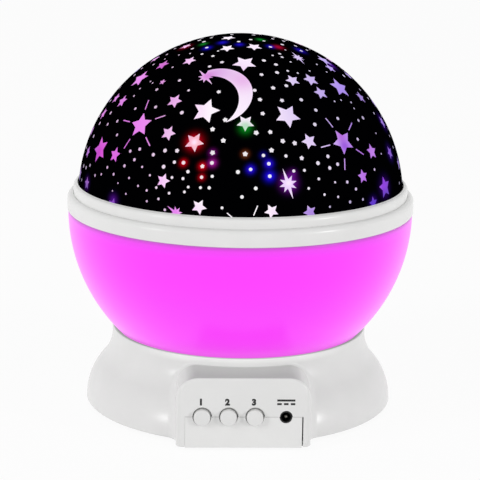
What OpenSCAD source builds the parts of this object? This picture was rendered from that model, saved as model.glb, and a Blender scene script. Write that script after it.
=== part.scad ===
// Star night light projector: a turning lamp whose perforated dome throws stars on the ceiling.
// A fixed base holds the cells, the switches and the lamps; a motor in it turns the bowl and dome.
// Origin: middle of the footprint on the table, +Z up, the control pod towards -Y.

/* [Bowl and ring] */
// Outer diameter of the white ring round the bowl
ring_d = 130; // [126:1:136]
// Height of the ring's lower, upright band
ring_h = 6.5; // [6.3:0.1:8]
// Wall of the ring
ring_wall = 2.1; // [2:0.05:2.4]
// Height of the bowl that shows between the base and the ring
bowl_show = 45.2; // [43:0.2:47]
// Wall of the pink bowl
bowl_wall = 1.7; // [1.4:0.1:2]
// How far the ring stands out beyond the bowl's widest line
ring_proud = 0.3; // [0.2:0.1:1]
// How far the ring's lower edge lies above the bowl's widest line
ring_rise = 0.5; // [0.2:0.1:1.2]

/* [Dome and lid] */
// Width of the white rim between the dome and the outside of the ring
rim_w = 4; // [3.8:0.1:4.6]
// Height of the lid's rounded rim
lid_h = 3.1; // [2.9:0.1:4]
// How far the lid's rim is set in from the ring
lid_step = 0.7; // [0.2:0.1:1]
// Dark line between the ring and the lid's rim
groove = 0.5; // [0.3:0.1:1]
// Depth of the dome's centre below the top of the lid's rim
dome_sink = 5.8; // [4.5:0.1:8]
// Thickness of the black star mask
mask_t = 0.8; // [0.6:0.1:1]
// Wall of the clear dome under the mask
dome_wall = 1.4; // [1.2:0.1:1.8]
// Angle the lid turns to come off its lugs
lid_turn = 24; // [22:1:28]

/* [Star windows] */
// Share of a star's radius at which its inner corners lie
star_waist = 0.5; // [0.42:0.01:0.56]
// Radius of the crescent's outer edge
moon_r = 12.5; // [11:0.1:12.8]
// Number of places tried for round windows
dot_count = 240; // [60:10:280]
// Radius of the smallest round window
dot_r = 0.6; // [0.4:0.05:0.8]
// Black web kept between two windows
window_web = 0.7; // [0.5:0.1:1.2]

/* [Base] */
// How far the foot stands out beyond the neck
foot_flare = 9.5; // [8.6:0.1:12]
// Radius of the hollow sweep under the neck
waist_r = 17; // [14:0.5:19]
// Wall of the moulded housings
wall = 1.8; // [1.6:0.1:2]
// Wall of the neck rim
neck_wall = 1.3; // [1.2:0.1:1.5]
// Gap between the neck rim and the turning bowl
neck_gap = 0.45; // [0.3:0.05:0.6]
// Height of the neck rim above the deck
neck_rise = 12.3; // [11.4:0.1:13]
// Height of the rubber feet below the base plate
foot_lift = 1; // [0.8:0.1:2]
// Thickness of the base plate
plate_t = 2; // [2:0.1:2.4]
// Split gap between two housing pieces
seam = 0.15; // [0.1:0.05:0.25]

/* [Control pod] */
// Width of the pod
pod_w = 48; // [46:1:54]
// Height of the pod's top above the table
pod_top = 26.8; // [24.6:0.1:27.2]
// How far the pod's face stands out beyond the foot
pod_reach = 3.4; // [2:0.1:5]
// Radius of the pod's upper corners
pod_corner = 8; // [5:0.5:9]
// Rounding of the pod's edges
pod_edge = 0.9; // [0.6:0.1:1.4]
// Distance from the pod's side to the base plate's tongue
tongue_inset = 3.2; // [3:0.1:4]
// Height of the line through the buttons and the jack
button_z = 12.4; // [11:0.1:12.4]
// Diameter of a button
button_d = 5.9; // [5:0.1:6.6]
// Distance from the pod's side to the middle of the first button
button_inset = 9.2; // [8.8:0.1:9.6]
// Step between two buttons as a share of the room from the first button to the jack
button_share = 0.315; // [0.3:0.005:0.32]
// How far a button stands out of the face
button_out = 1.8; // [1.2:0.1:2.5]
// Travel of a button
button_travel = 0.6; // [0.4:0.1:0.8]
// Play round a button in its hole
button_gap = 0.35; // [0.2:0.05:0.4]
// Distance from the pod's side to the middle of the power jack
jack_inset = 9; // [8.6:0.1:9.6]
// Bore of the power jack
jack_bore = 3.6; // [3.2:0.1:3.8]
// Depth of the power jack's bore
jack_depth = 9; // [8:0.5:10]

/* [Drive] */
// Module of the gear teeth
gear_module = 0.8; // [0.7:0.05:0.8]
// Teeth of the turning gear
gear_teeth = 70; // [66:2:72]
// Teeth of the motor's pinion
pinion_teeth = 12; // [12:1:14]
// Thickness of the turning gear
gear_t = 3; // [2.6:0.1:3.4]
// Play between the teeth
backlash = 0.16; // [0.1:0.02:0.24]
// Radius of the fixed bearing spigot
spigot_r = 10; // [9:0.1:10.5]
// Running gap between the spigot and the gear's hub
run_gap = 0.08; // [0.05:0.01:0.1]
// Diameter of the motor
motor_d = 15.4; // [12:0.2:15.8]
// Length of the motor
motor_l = 10; // [8:0.5:11]
// Diameter of the motor's shaft
shaft_d = 2; // [1.5:0.1:2.3]

/* [Lamps] */
// Height of the lamp board above the bearing spigot
lamp_rise = 23; // [18:1:28]
// Diameter of the lamp board
lamp_board_d = 31; // [28:1:36]
// Diameter of a lamp
lamp_d = 5; // [3:0.5:5]

/* [Battery bay] */
// Diameter of a cell
cell_d = 10.5; // [10.5:0.1:10.8]
// Length of a cell
cell_l = 44.5; // [44:0.5:45]
// Distance between two cells
cell_pitch = 10.8; // [10.8:0.1:11]
// Room for the springs and contacts at the ends of a cell
spring_room = 5.5; // [5:0.1:6]
// Thickness of the battery door
door_t = 1.6; // [1.4:0.1:1.8]
// Thickness of a circuit board
board_t = 1.6; // [1:0.1:1.8]

/* [Hidden] */
$fn = 72;

// Small values that many pieces share
fit = 0.1;          // gap between pieces that are fixed to each other
cut = 1;            // how far a cutter runs past the face that it opens
wire_r = 0.4;
thread_gap = 0.15;  // a screw's hole is this much wider than its shank

// Battery bay
cells = 4;
bay_w = cells * cell_pitch + 0.4;
bay_l = cell_l + spring_room;
bay_y0 = -20;
bay_y1 = bay_y0 + bay_l;
box_wall = 1.2;
door_play = 0.25;
door_w = bay_w - 0.6;
pin_r = 0.55;
pin_l = 1.7;
hinge_y = bay_y1 - 1;
hinge_z = foot_lift + door_t - 0.7;
door_back = 0.8;
door_y0 = bay_y0 + 0.6;

// Heights, from the table up
shell_z = foot_lift + 0.2;
plate_top = foot_lift + plate_t;
cell_roof = foot_lift + door_t + cell_d + 0.3;
box_top = cell_roof + box_wall;
wire_z = box_top + wire_r + 0.05;
deck_under = box_top + 2 * wire_r + 0.2;
deck_top = deck_under + wall;
washer_t = 0.6;
gear_z = deck_top + washer_t + run_gap;
floor_z = gear_z + gear_t;
hub_top = floor_z + wall + 2.3;
spigot_top = hub_top + 2 * run_gap;
neck_z = deck_top + neck_rise;
ring_z = neck_z + bowl_show;
ring_top = ring_z + ring_h;
lid_z = ring_top + groove;
lid_top = lid_z + lid_h;
lamp_z = spigot_top + lamp_rise;

// Bowl and ring
ring_r = ring_d / 2;
bowl_r = ring_r - ring_proud;
bowl_z = ring_z - ring_rise;
bore_r = ring_r - ring_wall;
spigot_wall = 1.6;
collar_r = bore_r - 0.15;
collar_top = ring_z + 2.7;

// Base profile: an upright foot, a full belly arc, a hollow waist arc and an upright neck
neck_r = sqrt(pow(bowl_r, 2) - pow(bowl_z - neck_z, 2)) + neck_gap;
neck_out = neck_r + neck_wall;
foot_r = neck_out + foot_flare;
foot_bevel = 0.4;
belly_z = shell_z + foot_bevel;
waist_z = neck_z - 2.3;
sweep_h = waist_z - belly_z;
belly_r = (pow(sweep_h, 2) + pow(foot_flare, 2)) / (2 * foot_flare) - waist_r;
sweep_a = asin(sweep_h / (belly_r + waist_r));
plate_r = foot_r - wall - seam;

// Pod, tongue and controls
face_y = -(foot_r + pod_reach);
back_y = face_y + wall;
pod_inner_y = -30;
tongue_w = pod_w - 2 * tongue_inset;
tongue_slot = 3 * seam;  // the gap at the tongue's +X side is wider
button_r = button_d / 2;
button_hole = button_r + button_gap;
first_x = button_inset - pod_w / 2;
jack_x = pod_w / 2 - jack_inset;
button_pitch = button_share * (jack_x - first_x);
flange_r = min(button_r + 1.3, button_pitch / 2 - 0.3);
flange_t = 0.8;
flange_y = back_y + fit;
plunger_r = 1.75;
plunger_l = 2.4;
plunger_y = flange_y + flange_t;
switch_gap = button_travel + 0.2;
switch_y = plunger_y + switch_gap;
switch_w = 6;
switch_l = 3.5;
board_y = switch_y + switch_l;
board_top = wire_z + wire_r + 0.05;
board_w = pod_w - 2 * wall - 5;
board_h = board_top - plate_top;
post_w = 3.2;
post_x = board_w / 2 + 0.6;
post_h = 0.65 * board_h;
post_wall = 1.2;
plunger_bore = plunger_l + 0.2;
jack_r = jack_bore / 2 + 0.3;
jack_hole = jack_r + seam;
jack_w = 6.6;
jack_h = 6;
jack_y = face_y + 0.2;
jack_back = jack_y + jack_depth + 1.4;
button_at = [first_x, first_x + button_pitch, first_x + 2 * button_pitch];

// Fasteners
boss_r = 3.2;
boss_ring = plate_r - 10.5;
boss_at = [18, 162, 198, 342];
screw_r = 1.2;
head_r = 2.3;
head_t = 1.1;
case_screw_l = 0.6 * (deck_under - foot_lift);
foot_pad_r = 5;
foot_pad_ring = plate_r - 9.5;
foot_recess = 0.6;

// Drive
gear_r = gear_module * gear_teeth / 2;
pinion_r = gear_module * pinion_teeth / 2;
drive_x = gear_r + pinion_r;
hub_r = spigot_r + run_gap;
hub_out = hub_r + 2.3;
gear_tip = 0.55;
pinion_tip = 0.8;
tip_gap = 0.25;
nose_r = 3;
nose_l = 1.4;
motor_screw_x = 5.2;
motor_screw_r = 0.8;
motor_seat = 0.8;
bowl_screw_ring = 18.5;
bowl_screw_r = 1;
pressure = 20;

// Lamp post
post_bore = 3;
post_flange_r = hub_out + 0.2;
post_flange_t = 1.6;
post_r = 7.2;
spigot_bore = 6.2;
post_screw_ring = (spigot_r + spigot_bore) / 2;
post_screw_l = 6.6;
post_head_r = 1.5;
lamp_ring = lamp_board_d / 2 - 6.5;

// Lid
lid_r = ring_r - lid_step;
dome_r = ring_r - rim_w;
dome_z = lid_top - dome_sink;
shell_r = dome_r - mask_t;
lip_r = sqrt(pow(dome_r, 2) - pow(dome_sink, 2)) + 0.25;
web_t = 0.9;
rim_bore = lid_r - 2.1;
rim_flange = rim_bore - fit;
rim_flange_t = 1;
skirt_r = collar_r - spigot_wall - 0.2;
skirt_wall = 1.4;
lug_t = 1.3;
lug_span = 18;
lug_z = collar_top + 0.4;
catch_z = lug_z + lug_t + 0.3;
catch_t = 1.4;

// Star windows, in degrees round the dome from the front and up from its centre plane:
// each row is [round, up, radius, turn]. The back of the dome repeats the front.
sun_stars = [[-46.4, 33, 4.8, 14], [39.9, 28.2, 4.8, 21], [0.3, 1.7, 4.3, -22]];
plain_stars = [[-44.4, 62.3, 2.7, 3], [-64.5, 57.6, 2.9, 17], [-71.1, 49.2, 4.3, 18],
    [-49.3, 50.5, 1.4, 10], [-68.7, 39.2, 2.8, 16], [-34.6, 43.6, 3, -11], [-65.7, 21.1, 5, 27],
    [-54.3, 21.1, 2.9, 0], [-31.6, 31.6, 2.9, -14], [-20, 29.4, 3.6, -23], [-29.5, 15.6, 2.7, -14],
    [-70.3, 8.2, 2.4, 8], [-15.8, 8.2, 2.8, -26], [-20, 72.7, 2.8, -19], [12.6, 74.3, 3, 22],
    [-0.6, 63.1, 4.5, 31], [-17.9, 40.9, 5.1, -10], [27.6, 53.6, 2.8, 13], [17.8, 39.3, 4.8, 36],
    [-0.5, 36.9, 3.2, 34], [8.2, 7.3, 2.6, 28], [68.6, 56.1, 2.5, -26], [40.3, 47, 2.9, 0],
    [39.9, 53.1, 3.1, 3], [57, 47.7, 4.6, -17], [69.9, 41.7, 2.7, -25], [24.5, 29.7, 3, 17],
    [54.3, 22.9, 3, -4], [69.4, 20, 2.6, 12], [45.4, 15.6, 2.6, 2], [57.8, 9.9, 4.1, 6],
    [-78.6, 39, 2.4, 21], [-81.3, 32, 2.6, 34], [21.5, 6.3, 2.6, 20], [49.4, 5.9, 2.4, 5],
    [-50.4, 6.1, 2.6, -10], [-43.2, 82.4, 2.8, 10], [75.9, 59.8, 3.4, -20], [77.3, 30.1, 2.6, 10]];
twinkles = [[-23.9, 55.1, 4.9, 48], [48.2, 64.6, 4.2, -12], [14.2, 16, 5.6, 16], [-23.7, 6.5, 4.2, 57]];
moons = [[-14.5, 48, moon_r, 0]];

function polar(r, a) = [r * cos(a), r * sin(a)];

// A star with its points up, its inner corners at a share of the radius
function star_points(r, points, waist) =
    [for (i = [0 : 2 * points - 1]) polar(i % 2 == 0 ? r : r * waist, 90 + 180 * i / points)];

// A star with one long spike up and one down, and short spikes between
function twinkle_points(r) =
    [for (i = [0 : 15]) polar(i % 2 == 1 ? r * 0.36 : (i % 8 == 0 ? r : r * 0.6), 90 + 22.5 * i)];

function direction(p) = [cos(p[1]) * sin(p[0]), -cos(p[1]) * cos(p[0]), sin(p[1])];

// Distance along the dome between two places
function apart(p, q) = dome_r * acos(min(1, direction(p) * direction(q)));

function half_turned(rows) = [for (p = rows) [p[0] + 180, p[1], p[2], p[3]]];

function both_sides(rows) = concat(rows, half_turned(rows));

big_windows = both_sides(concat(
    [for (p = sun_stars) [p[0], p[1], 2 * p[2]]],
    [for (p = plain_stars) [p[0], p[1], p[2]]],
    [for (p = twinkles) [p[0], p[1], p[2]]],
    [for (p = moons) [p[0], p[1], p[2]]]));

function dot_place(i) =
    [(i * 137.508) % 360, asin(0.15 + 0.84 * i / dot_count), dot_r * (1 + 0.25 * (i % 3))];

function clear(p) =
    min([for (q = big_windows) apart(p, q) - q[2] - p[2] - window_web]) > 0;

dots = [for (i = [0 : dot_count - 1]) if (clear(dot_place(i))) dot_place(i)];

// Points along an arc about [x, z], from one angle to another
function arc(x, z, r, from, to, steps = 12) =
    [for (i = [0 : steps]) [x, z] + polar(r, from + (to - from) * i / steps)];

// Outline of the base without the pod, half of it, drawn inset by a wall
module base_outline(inset = 0) {
    polygon(concat(
        [[0, shell_z], [foot_r - inset - foot_bevel, shell_z]],
        arc(foot_r - belly_r, belly_z, belly_r - inset, 0, sweep_a),
        arc(neck_out + waist_r, waist_z, waist_r + inset, 180 + sweep_a, 180),
        [[neck_out - inset, neck_z], [0, neck_z]]));
}

module base_solid(inset = 0) {
    rotate_extrude() base_outline(inset);
}

// Front view of the pod with round upper corners, inset from its outside
module pod_outline(inset) {
    half = pod_w / 2 - inset;
    corner = pod_corner - inset;
    translate([-half, shell_z]) square([2 * half, pod_top - shell_z - pod_corner]);
    translate([-half + corner, shell_z]) square([2 * (half - corner), pod_top - inset - shell_z]);
    for (side = [-1, 1]) translate([side * (half - corner), pod_top - pod_corner]) circle(r = corner);
}

// A front view drawn in X and Z, pushed back along +Y from the plane y
module push_back(y, depth) {
    translate([0, y + depth, 0]) rotate([90, 0, 0]) linear_extrude(depth) children();
}

// The rounded front of the pod, from its face back to where its sides are straight
module pod_front() {
    steps = 5;
    half = pod_w / 2;
    hull() for (i = [0 : steps]) {
        shrink = pod_edge * (1 - sin(90 * i / steps));
        y = face_y + pod_edge * (1 - cos(90 * i / steps));
        depth = face_y + pod_edge - y + 0.001;
        for (side = [-1, 1]) translate([side * (half - pod_corner), y, pod_top - pod_corner])
            rotate([-90, 0, 0]) cylinder(r = pod_corner - shrink, h = depth, $fn = 32);
        translate([-half + shrink, y, shell_z]) cube([2 * (half - shrink), depth, cut]);
    }
}

module pod_block() {
    push_back(face_y + pod_edge, pod_inner_y - face_y - pod_edge) pod_outline(0);
    pod_front();
}

// Everything at the angles of one ring
module around(radius, angles) {
    for (a = angles) rotate([0, 0, a]) translate([radius, 0, 0]) children();
}

// A tube or rod along +Y
module rod_y(r, l) {
    rotate([-90, 0, 0]) cylinder(r = r, h = l);
}

// A pan-head screw with its head's underside at the origin and its shank up
module screw(shank_r, shank_l, crown_r, crown_t) {
    slot = crown_r * 0.3;
    cylinder(r = shank_r, h = shank_l);
    difference() {
        translate([0, 0, -crown_t]) cylinder(r = crown_r, h = crown_t);
        for (a = [0, 90]) {
            rotate([0, 0, a]) translate([0, 0, -crown_t]) cube([crown_r * 1.2, slot, crown_t], center = true);
        }
    }
}

module base_shell() {
    color("whitesmoke") difference() {
        union() {
            difference() {
                union() {
                    base_solid();
                    pod_block();
                }
                // room under the deck
                intersection() {
                    union() {
                        base_solid(wall);
                        cylinder(r = foot_r - wall, h = belly_z);
                    }
                    cylinder(r = foot_r, h = deck_under);
                }
                // hollow of the pod
                difference() {
                    push_back(back_y, pod_inner_y - back_y) pod_outline(wall);
                    intersection() {
                        base_solid();
                        translate([0, 0, deck_under]) cylinder(r = foot_r + cut, h = neck_z);
                    }
                }
                translate([-pod_w / 2 + wall, face_y + wall, 0]) cube([pod_w - 2 * wall, 25, shell_z + cut]);
                // well that the bowl turns in
                intersection() {
                    union() {
                        base_solid(wall);
                        cylinder(r = neck_r, h = neck_z + cut);
                    }
                    translate([0, 0, deck_top]) cylinder(r = foot_r, h = neck_rise + cut);
                }
            }
            // bearing spigot of the turning gear
            translate([0, 0, deck_under]) cylinder(r = spigot_r, h = spigot_top - deck_under);
            // bosses of the case screws
            around(boss_ring, boss_at) {
                translate([0, 0, plate_top]) cylinder(r = boss_r, h = deck_under - plate_top + cut);
            }
        }
        translate([0, 0, deck_under - cut]) cylinder(r = spigot_bore, h = spigot_top);
        around(boss_ring, boss_at) {
            cylinder(r = screw_r, h = foot_lift + head_t + case_screw_l + cut);
        }
        around(post_screw_ring, [0, 180]) {
            translate([0, 0, spigot_top - post_screw_l]) cylinder(r = motor_screw_r, h = post_screw_l + cut);
        }
        // motor seat in the deck
        translate([drive_x, 0, deck_under - cut]) cylinder(r = nose_r + fit, h = wall + 2 * cut);
        for (y = [-1, 1]) translate([drive_x, y * motor_screw_x, 0]) {
            translate([0, 0, deck_under - cut]) cylinder(r = motor_screw_r + thread_gap, h = wall + 2 * cut);
            translate([0, 0, deck_top - motor_seat]) cylinder(r = 2 * motor_screw_r, h = motor_seat + cut);
        }
        // opening for the plate's tongue, with the upper half of each hole
        translate([-tongue_w / 2 - seam, face_y - cut, 0])
            cube([tongue_w + seam + tongue_slot, wall + 2 * cut, button_z + seam]);
        for (x = button_at) translate([x, face_y - cut, button_z]) rod_y(button_hole, wall + 2 * cut);
        translate([jack_x, face_y - cut, button_z]) rod_y(jack_hole, wall + 2 * cut);
    }
}

module base_plate() {
    color("whitesmoke") difference() {
        union() {
            translate([0, 0, foot_lift]) cylinder(r = plate_r, h = plate_t);
            translate([-pod_w / 2 + wall + seam, back_y + seam, foot_lift])
                cube([pod_w - 2 * (wall + seam), -back_y - seam, plate_t]);
            // tongue that closes the pod's face up to the line of the buttons
            translate([-tongue_w / 2, face_y, foot_lift]) cube([tongue_w, wall, button_z - foot_lift]);
            translate([-tongue_w / 2, face_y, foot_lift]) cube([tongue_w, 2 * wall, plate_t]);
            // slotted posts that hold the switch board upright
            for (x = [-post_x, post_x]) translate([x - post_w / 2, board_y - post_wall, plate_top - fit]) {
                cube([post_w, board_t + 2 * post_wall, post_h]);
            }
        }
        translate([-board_w / 2 - fit, board_y - fit, plate_top])
            cube([board_w + 2 * fit, board_t + 2 * fit, board_h]);
        for (x = button_at) translate([x, face_y - cut, button_z]) rod_y(button_hole, wall + 2 * cut);
        translate([jack_x, face_y - cut, button_z]) rod_y(jack_hole, wall + 2 * cut);
        // bay opening and the sockets of the door's pins
        translate([-door_w / 2 - door_play, door_y0 - door_play, 0])
            cube([door_w + 2 * door_play, hinge_y + door_back + 0.55 - door_y0 + door_play, plate_top + cut]);
        for (side = [-1, 1]) translate([side * (door_w / 2 + pin_l / 2), hinge_y, hinge_z])
            rotate([0, 90, 0]) cylinder(r = pin_r + run_gap, h = pin_l + 0.4, center = true);
        // case screws and rubber feet
        around(boss_ring, boss_at) {
            cylinder(r = screw_r + thread_gap, h = plate_top + cut);
            cylinder(r = head_r + fit, h = foot_lift + head_t);
        }
        around(foot_pad_ring, [45 : 90 : 315]) {
            cylinder(r = foot_pad_r + fit, h = foot_lift + foot_recess);
        }
    }
}

module rubber_feet() {
    color("dimgray") around(foot_pad_ring, [45 : 90 : 315]) {
        cylinder(r = foot_pad_r, h = foot_lift + foot_recess);
    }
}

module case_screws() {
    color("silver") around(boss_ring, boss_at) {
        translate([0, 0, foot_lift + head_t]) screw(screw_r, case_screw_l, head_r, head_t - 0.2);
    }
}

module battery_box() {
    color("whitesmoke") difference() {
        translate([-bay_w / 2 - box_wall, bay_y0 - box_wall, plate_top])
            cube([bay_w + 2 * box_wall, bay_l + 2 * box_wall, box_top - plate_top]);
        difference() {
            translate([-bay_w / 2, bay_y0, plate_top - cut])
                cube([bay_w, bay_l, cell_roof - plate_top + cut]);
            // ribs that part the cells
            for (i = [1 : cells - 1]) translate([(i - cells / 2) * cell_pitch - 0.4, bay_y0, cell_roof - 3.5])
                cube([0.8, bay_l, 3.5]);
        }
    }
}

function cell_x(i) = (i - (cells - 1) / 2) * cell_pitch;

module battery_contacts() {
    plate_h = 9;
    color("silver") for (i = [0 : cells - 1]) for (y = [bay_y0, bay_y1 - 0.4]) {
        translate([cell_x(i) - 4.4, y, cell_roof - plate_h]) cube([8.8, 0.4, plate_h]);
    }
}

// A conical spring whose turns lie close together
module cell_spring() {
    turns = 5;
    wire = 0.5;
    outer = cell_d / 2 - 1.6;
    rotate([-90, 0, 0]) rotate_extrude() for (i = [0 : turns - 1]) {
        translate([outer - 0.7 * wire * i, wire + 1.7 * wire * i]) circle(r = wire);
    }
}

module battery_springs() {
    color("gainsboro") for (i = [0 : cells - 1]) {
        end = i % 2;
        y = end == 0 ? bay_y0 + 0.4 : bay_y1 - 0.4;
        translate([cell_x(i), y, cell_roof - cell_d / 2]) rotate([0, 0, 180 * end]) cell_spring();
    }
}

module battery_door() {
    color("whitesmoke") difference() {
        union() {
            translate([-door_w / 2, door_y0, foot_lift]) cube([door_w, hinge_y - door_y0, door_t]);
            translate([-door_w / 2, hinge_y - cut, foot_lift]) cube([door_w, cut + door_back - 0.1, door_t]);
            for (side = [-1, 1]) translate([side * (door_w / 2 + pin_l / 2 - cut / 2), hinge_y, hinge_z])
                rotate([0, 90, 0]) cylinder(r = pin_r, h = pin_l + cut, center = true);
        }
        // thumb recess and the slots that free the latch
        translate([0, door_y0 + 7, foot_lift - 8.9]) sphere(r = 10);
        for (side = [-1, 1]) translate([side * 7 - 0.4, door_y0 - cut, 0]) cube([0.8, 9 + cut, 10]);
    }
}

module switch_board() {
    color("seagreen") difference() {
        translate([-board_w / 2, board_y, plate_top]) cube([board_w, board_t, board_h]);
        // notch that the jack drops into
        translate([jack_x - jack_w / 2 - fit, board_y - cut, button_z - jack_h / 2 - fit])
            cube([jack_w + 2 * fit, board_t + 2 * cut, board_h]);
    }
}

module board_parts() {
    back = board_y + board_t;
    chip = board_w / 7;
    color("black") translate([0, back, plate_top + 0.3 * board_h]) {
        translate([-0.26 * board_w, 0, -chip / 4]) cube([chip, 1.5, chip]);
        translate([-0.03 * board_w, 0, 0]) cube([chip / 2, 1, chip / 4]);
        translate([0.1 * board_w, 0, chip / 3]) rod_y(0.4 * chip, chip);
        translate([-0.38 * board_w, 0, chip / 3]) rod_y(0.3 * chip, chip);
    }
}

module switch_housings() {
    color("black") for (x = button_at) difference() {
        translate([x - switch_w / 2, switch_y, button_z - switch_w / 2]) cube([switch_w, switch_l, switch_w]);
        translate([x, switch_y - cut, button_z]) rod_y(plunger_r + run_gap, plunger_bore + cut);
    }
}

module plunger(i) {
    color("gray") translate([button_at[i], plunger_y, button_z]) rod_y(plunger_r, plunger_l);
}

module button_cap(i) {
    rim = 0.4;
    color("whitesmoke") translate([button_at[i], 0, button_z]) {
        rotate([90, 0, 0]) rotate_extrude() {
            translate([0, -plunger_y]) square([flange_r, flange_t]);
            translate([0, -plunger_y]) square([button_r, plunger_y - face_y + button_out - rim]);
            translate([0, -plunger_y]) square([button_r - rim, plunger_y - face_y + button_out]);
            translate([button_r - rim, button_out - face_y - rim]) circle(r = rim);
        }
    }
}

module dc_jack() {
    color("black") difference() {
        union() {
            translate([jack_x, jack_y, button_z]) rod_y(jack_r, 3);
            translate([jack_x - jack_w / 2, back_y + fit, button_z - jack_h / 2])
                cube([jack_w, jack_back - back_y - fit, jack_h]);
        }
        translate([jack_x, jack_y - cut, button_z]) rod_y(jack_bore / 2, jack_depth + cut);
    }
}

module jack_pin() {
    pin = 0.65;
    color("silver") translate([jack_x, jack_y + 1, button_z]) {
        rod_y(pin, jack_depth - 1);
        sphere(r = pin);
    }
}

// Half the angle of a gear tooth at one radius, from the involute of its base circle
function tooth_half(r, pitch_r, teeth) =
    let (base_r = pitch_r * cos(pressure), a = acos(min(1, base_r / max(r, base_r))))
    90 / teeth - (backlash / 4 / pitch_r) * 180 / PI
    + (tan(pressure) - tan(a)) * 180 / PI - pressure + a;

module gear_outline(teeth, tip, root) {
    pitch_r = gear_module * teeth / 2;
    base_r = pitch_r * cos(pressure);
    top_r = pitch_r + tip;
    low_r = pitch_r - root;
    flank = [for (i = [0 : 4]) max(low_r, base_r) + (top_r - max(low_r, base_r)) * i / 4];
    polygon([for (k = [0 : teeth - 1]) let (mid = 360 * k / teeth) each concat(
        [polar(low_r, mid - tooth_half(flank[0], pitch_r, teeth) - 0.2)],
        [for (r = flank) polar(r, mid - tooth_half(r, pitch_r, teeth))],
        [for (i = [4 : -1 : 0]) polar(flank[i], mid + tooth_half(flank[i], pitch_r, teeth))],
        [polar(low_r, mid + tooth_half(flank[0], pitch_r, teeth) + 0.2)])]);
}

module drive_gear() {
    web_top = gear_z + 0.75 * gear_t;
    rim_r = gear_r - 3;
    color("white") difference() {
        union() {
            translate([0, 0, gear_z]) rotate([0, 0, 180 / gear_teeth]) linear_extrude(gear_t)
                gear_outline(gear_teeth, gear_tip, pinion_tip + tip_gap);
            translate([0, 0, gear_z]) cylinder(r = hub_out, h = hub_top - gear_z);
        }
        translate([0, 0, gear_z - cut]) cylinder(r = hub_r, h = hub_top);
        // pocket over the web, with the screw bosses left standing
        difference() {
            translate([0, 0, web_top]) cylinder(r = rim_r, h = gear_t);
            cylinder(r = hub_out, h = hub_top + cut);
            around(bowl_screw_ring, [30 : 120 : 270]) cylinder(r = bowl_screw_r + 1.8, h = hub_top);
        }
        around(bowl_screw_ring, [30 : 120 : 270]) {
            translate([0, 0, gear_z - cut]) cylinder(r = bowl_screw_r, h = gear_t + 2 * cut);
        }
        around(bowl_screw_ring, [90 : 120 : 330]) {
            translate([0, 0, gear_z - cut]) cylinder(r = 4, h = gear_t + 2 * cut);
        }
    }
}

module thrust_washer() {
    color("ivory") translate([0, 0, deck_top]) difference() {
        cylinder(r = hub_out + 1.5, h = washer_t);
        translate([0, 0, -cut]) cylinder(r = spigot_r + fit, h = washer_t + 2 * cut);
    }
}

module gear_motor() {
    color("silver") translate([drive_x, 0, 0]) difference() {
        union() {
            translate([0, 0, deck_under - motor_l]) cylinder(r = motor_d / 2, h = motor_l);
            translate([0, 0, deck_under]) cylinder(r = nose_r, h = nose_l);
            for (y = [-1, 1]) translate([-0.3, y * 3 - 1, deck_under - motor_l - 1.3]) cube([0.6, 2, 1.4]);
        }
        translate([0, 0, deck_under - 3.5]) cylinder(r = shaft_d / 2 + run_gap, h = 6);
        for (y = [-1, 1]) translate([0, y * motor_screw_x, deck_under - 2]) {
            cylinder(r = motor_screw_r, h = 3);
        }
    }
}

module motor_screws() {
    color("silver") for (y = [-1, 1]) translate([drive_x, y * motor_screw_x, deck_top - motor_seat]) {
        rotate([180, 0, 0]) screw(motor_screw_r, wall + 1, 1.8 * motor_screw_r, motor_seat - 0.1);
    }
}

module motor_shaft() {
    color("silver") translate([drive_x, 0, deck_under - 3.3]) {
        cylinder(r = shaft_d / 2, h = floor_z - 0.4 - deck_under + 3.3);
    }
}

module motor_pinion() {
    color("brown") translate([drive_x, 0, gear_z + 0.2]) difference() {
        linear_extrude(gear_t - 0.6) gear_outline(pinion_teeth, pinion_tip, gear_tip + tip_gap - 0.05);
        translate([0, 0, -cut]) cylinder(r = shaft_d / 2, h = gear_t + 2 * cut);
    }
}

module led_post() {
    cup_r = lamp_board_d / 2 + 1.2;
    cup_h = 6;
    color("white") difference() {
        rotate_extrude() {
            translate([0, spigot_top - 2]) square([spigot_bore - fit, 2]);
            translate([0, spigot_top]) square([post_flange_r, post_flange_t]);
            translate([0, spigot_top]) square([post_r, lamp_z - spigot_top]);
            polygon([[post_r, spigot_top + post_flange_t], [post_r + 2, spigot_top + post_flange_t],
                [post_r, spigot_top + post_flange_t + 3]]);
            polygon([[0, lamp_z - cup_h - 3], [post_r, lamp_z - cup_h - 3], [cup_r, lamp_z - 1.5],
                [cup_r, lamp_z + board_t], [0, lamp_z + board_t]]);
        }
        translate([0, 0, lamp_z]) cylinder(r = lamp_board_d / 2 + fit, h = board_t + cut);
        translate([0, 0, spigot_top - 2 - cut]) cylinder(r = post_bore, h = lamp_rise + 5);
        around(post_screw_ring, [0, 180]) {
            translate([0, 0, spigot_top - cut]) cylinder(r = motor_screw_r + thread_gap, h = post_flange_t + cut);
            translate([0, 0, spigot_top + post_flange_t]) cylinder(r = post_head_r + 0.2, h = 2 * post_flange_t);
        }
    }
}

module post_screws() {
    color("silver") around(post_screw_ring, [0, 180]) {
        translate([0, 0, spigot_top + post_flange_t])
            rotate([180, 0, 0]) screw(motor_screw_r, post_screw_l, post_head_r, 0.9);
    }
}

module led_board() {
    color("white") translate([0, 0, lamp_z]) cylinder(r = lamp_board_d / 2, h = board_t);
}

// A round lamp with a collar and a domed lens
module lamp(x, y) {
    r = lamp_d / 2;
    translate([x, y, lamp_z + board_t]) {
        cylinder(r = r + 0.4, h = 1);
        cylinder(r = r, h = lamp_d);
        translate([0, 0, lamp_d]) sphere(r = r);
    }
}

module warm_led() {
    color("khaki") lamp(0, 0);
}

module colour_lamp(a) {
    at = polar(lamp_ring, a);
    lamp(at[0], at[1]);
}

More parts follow.
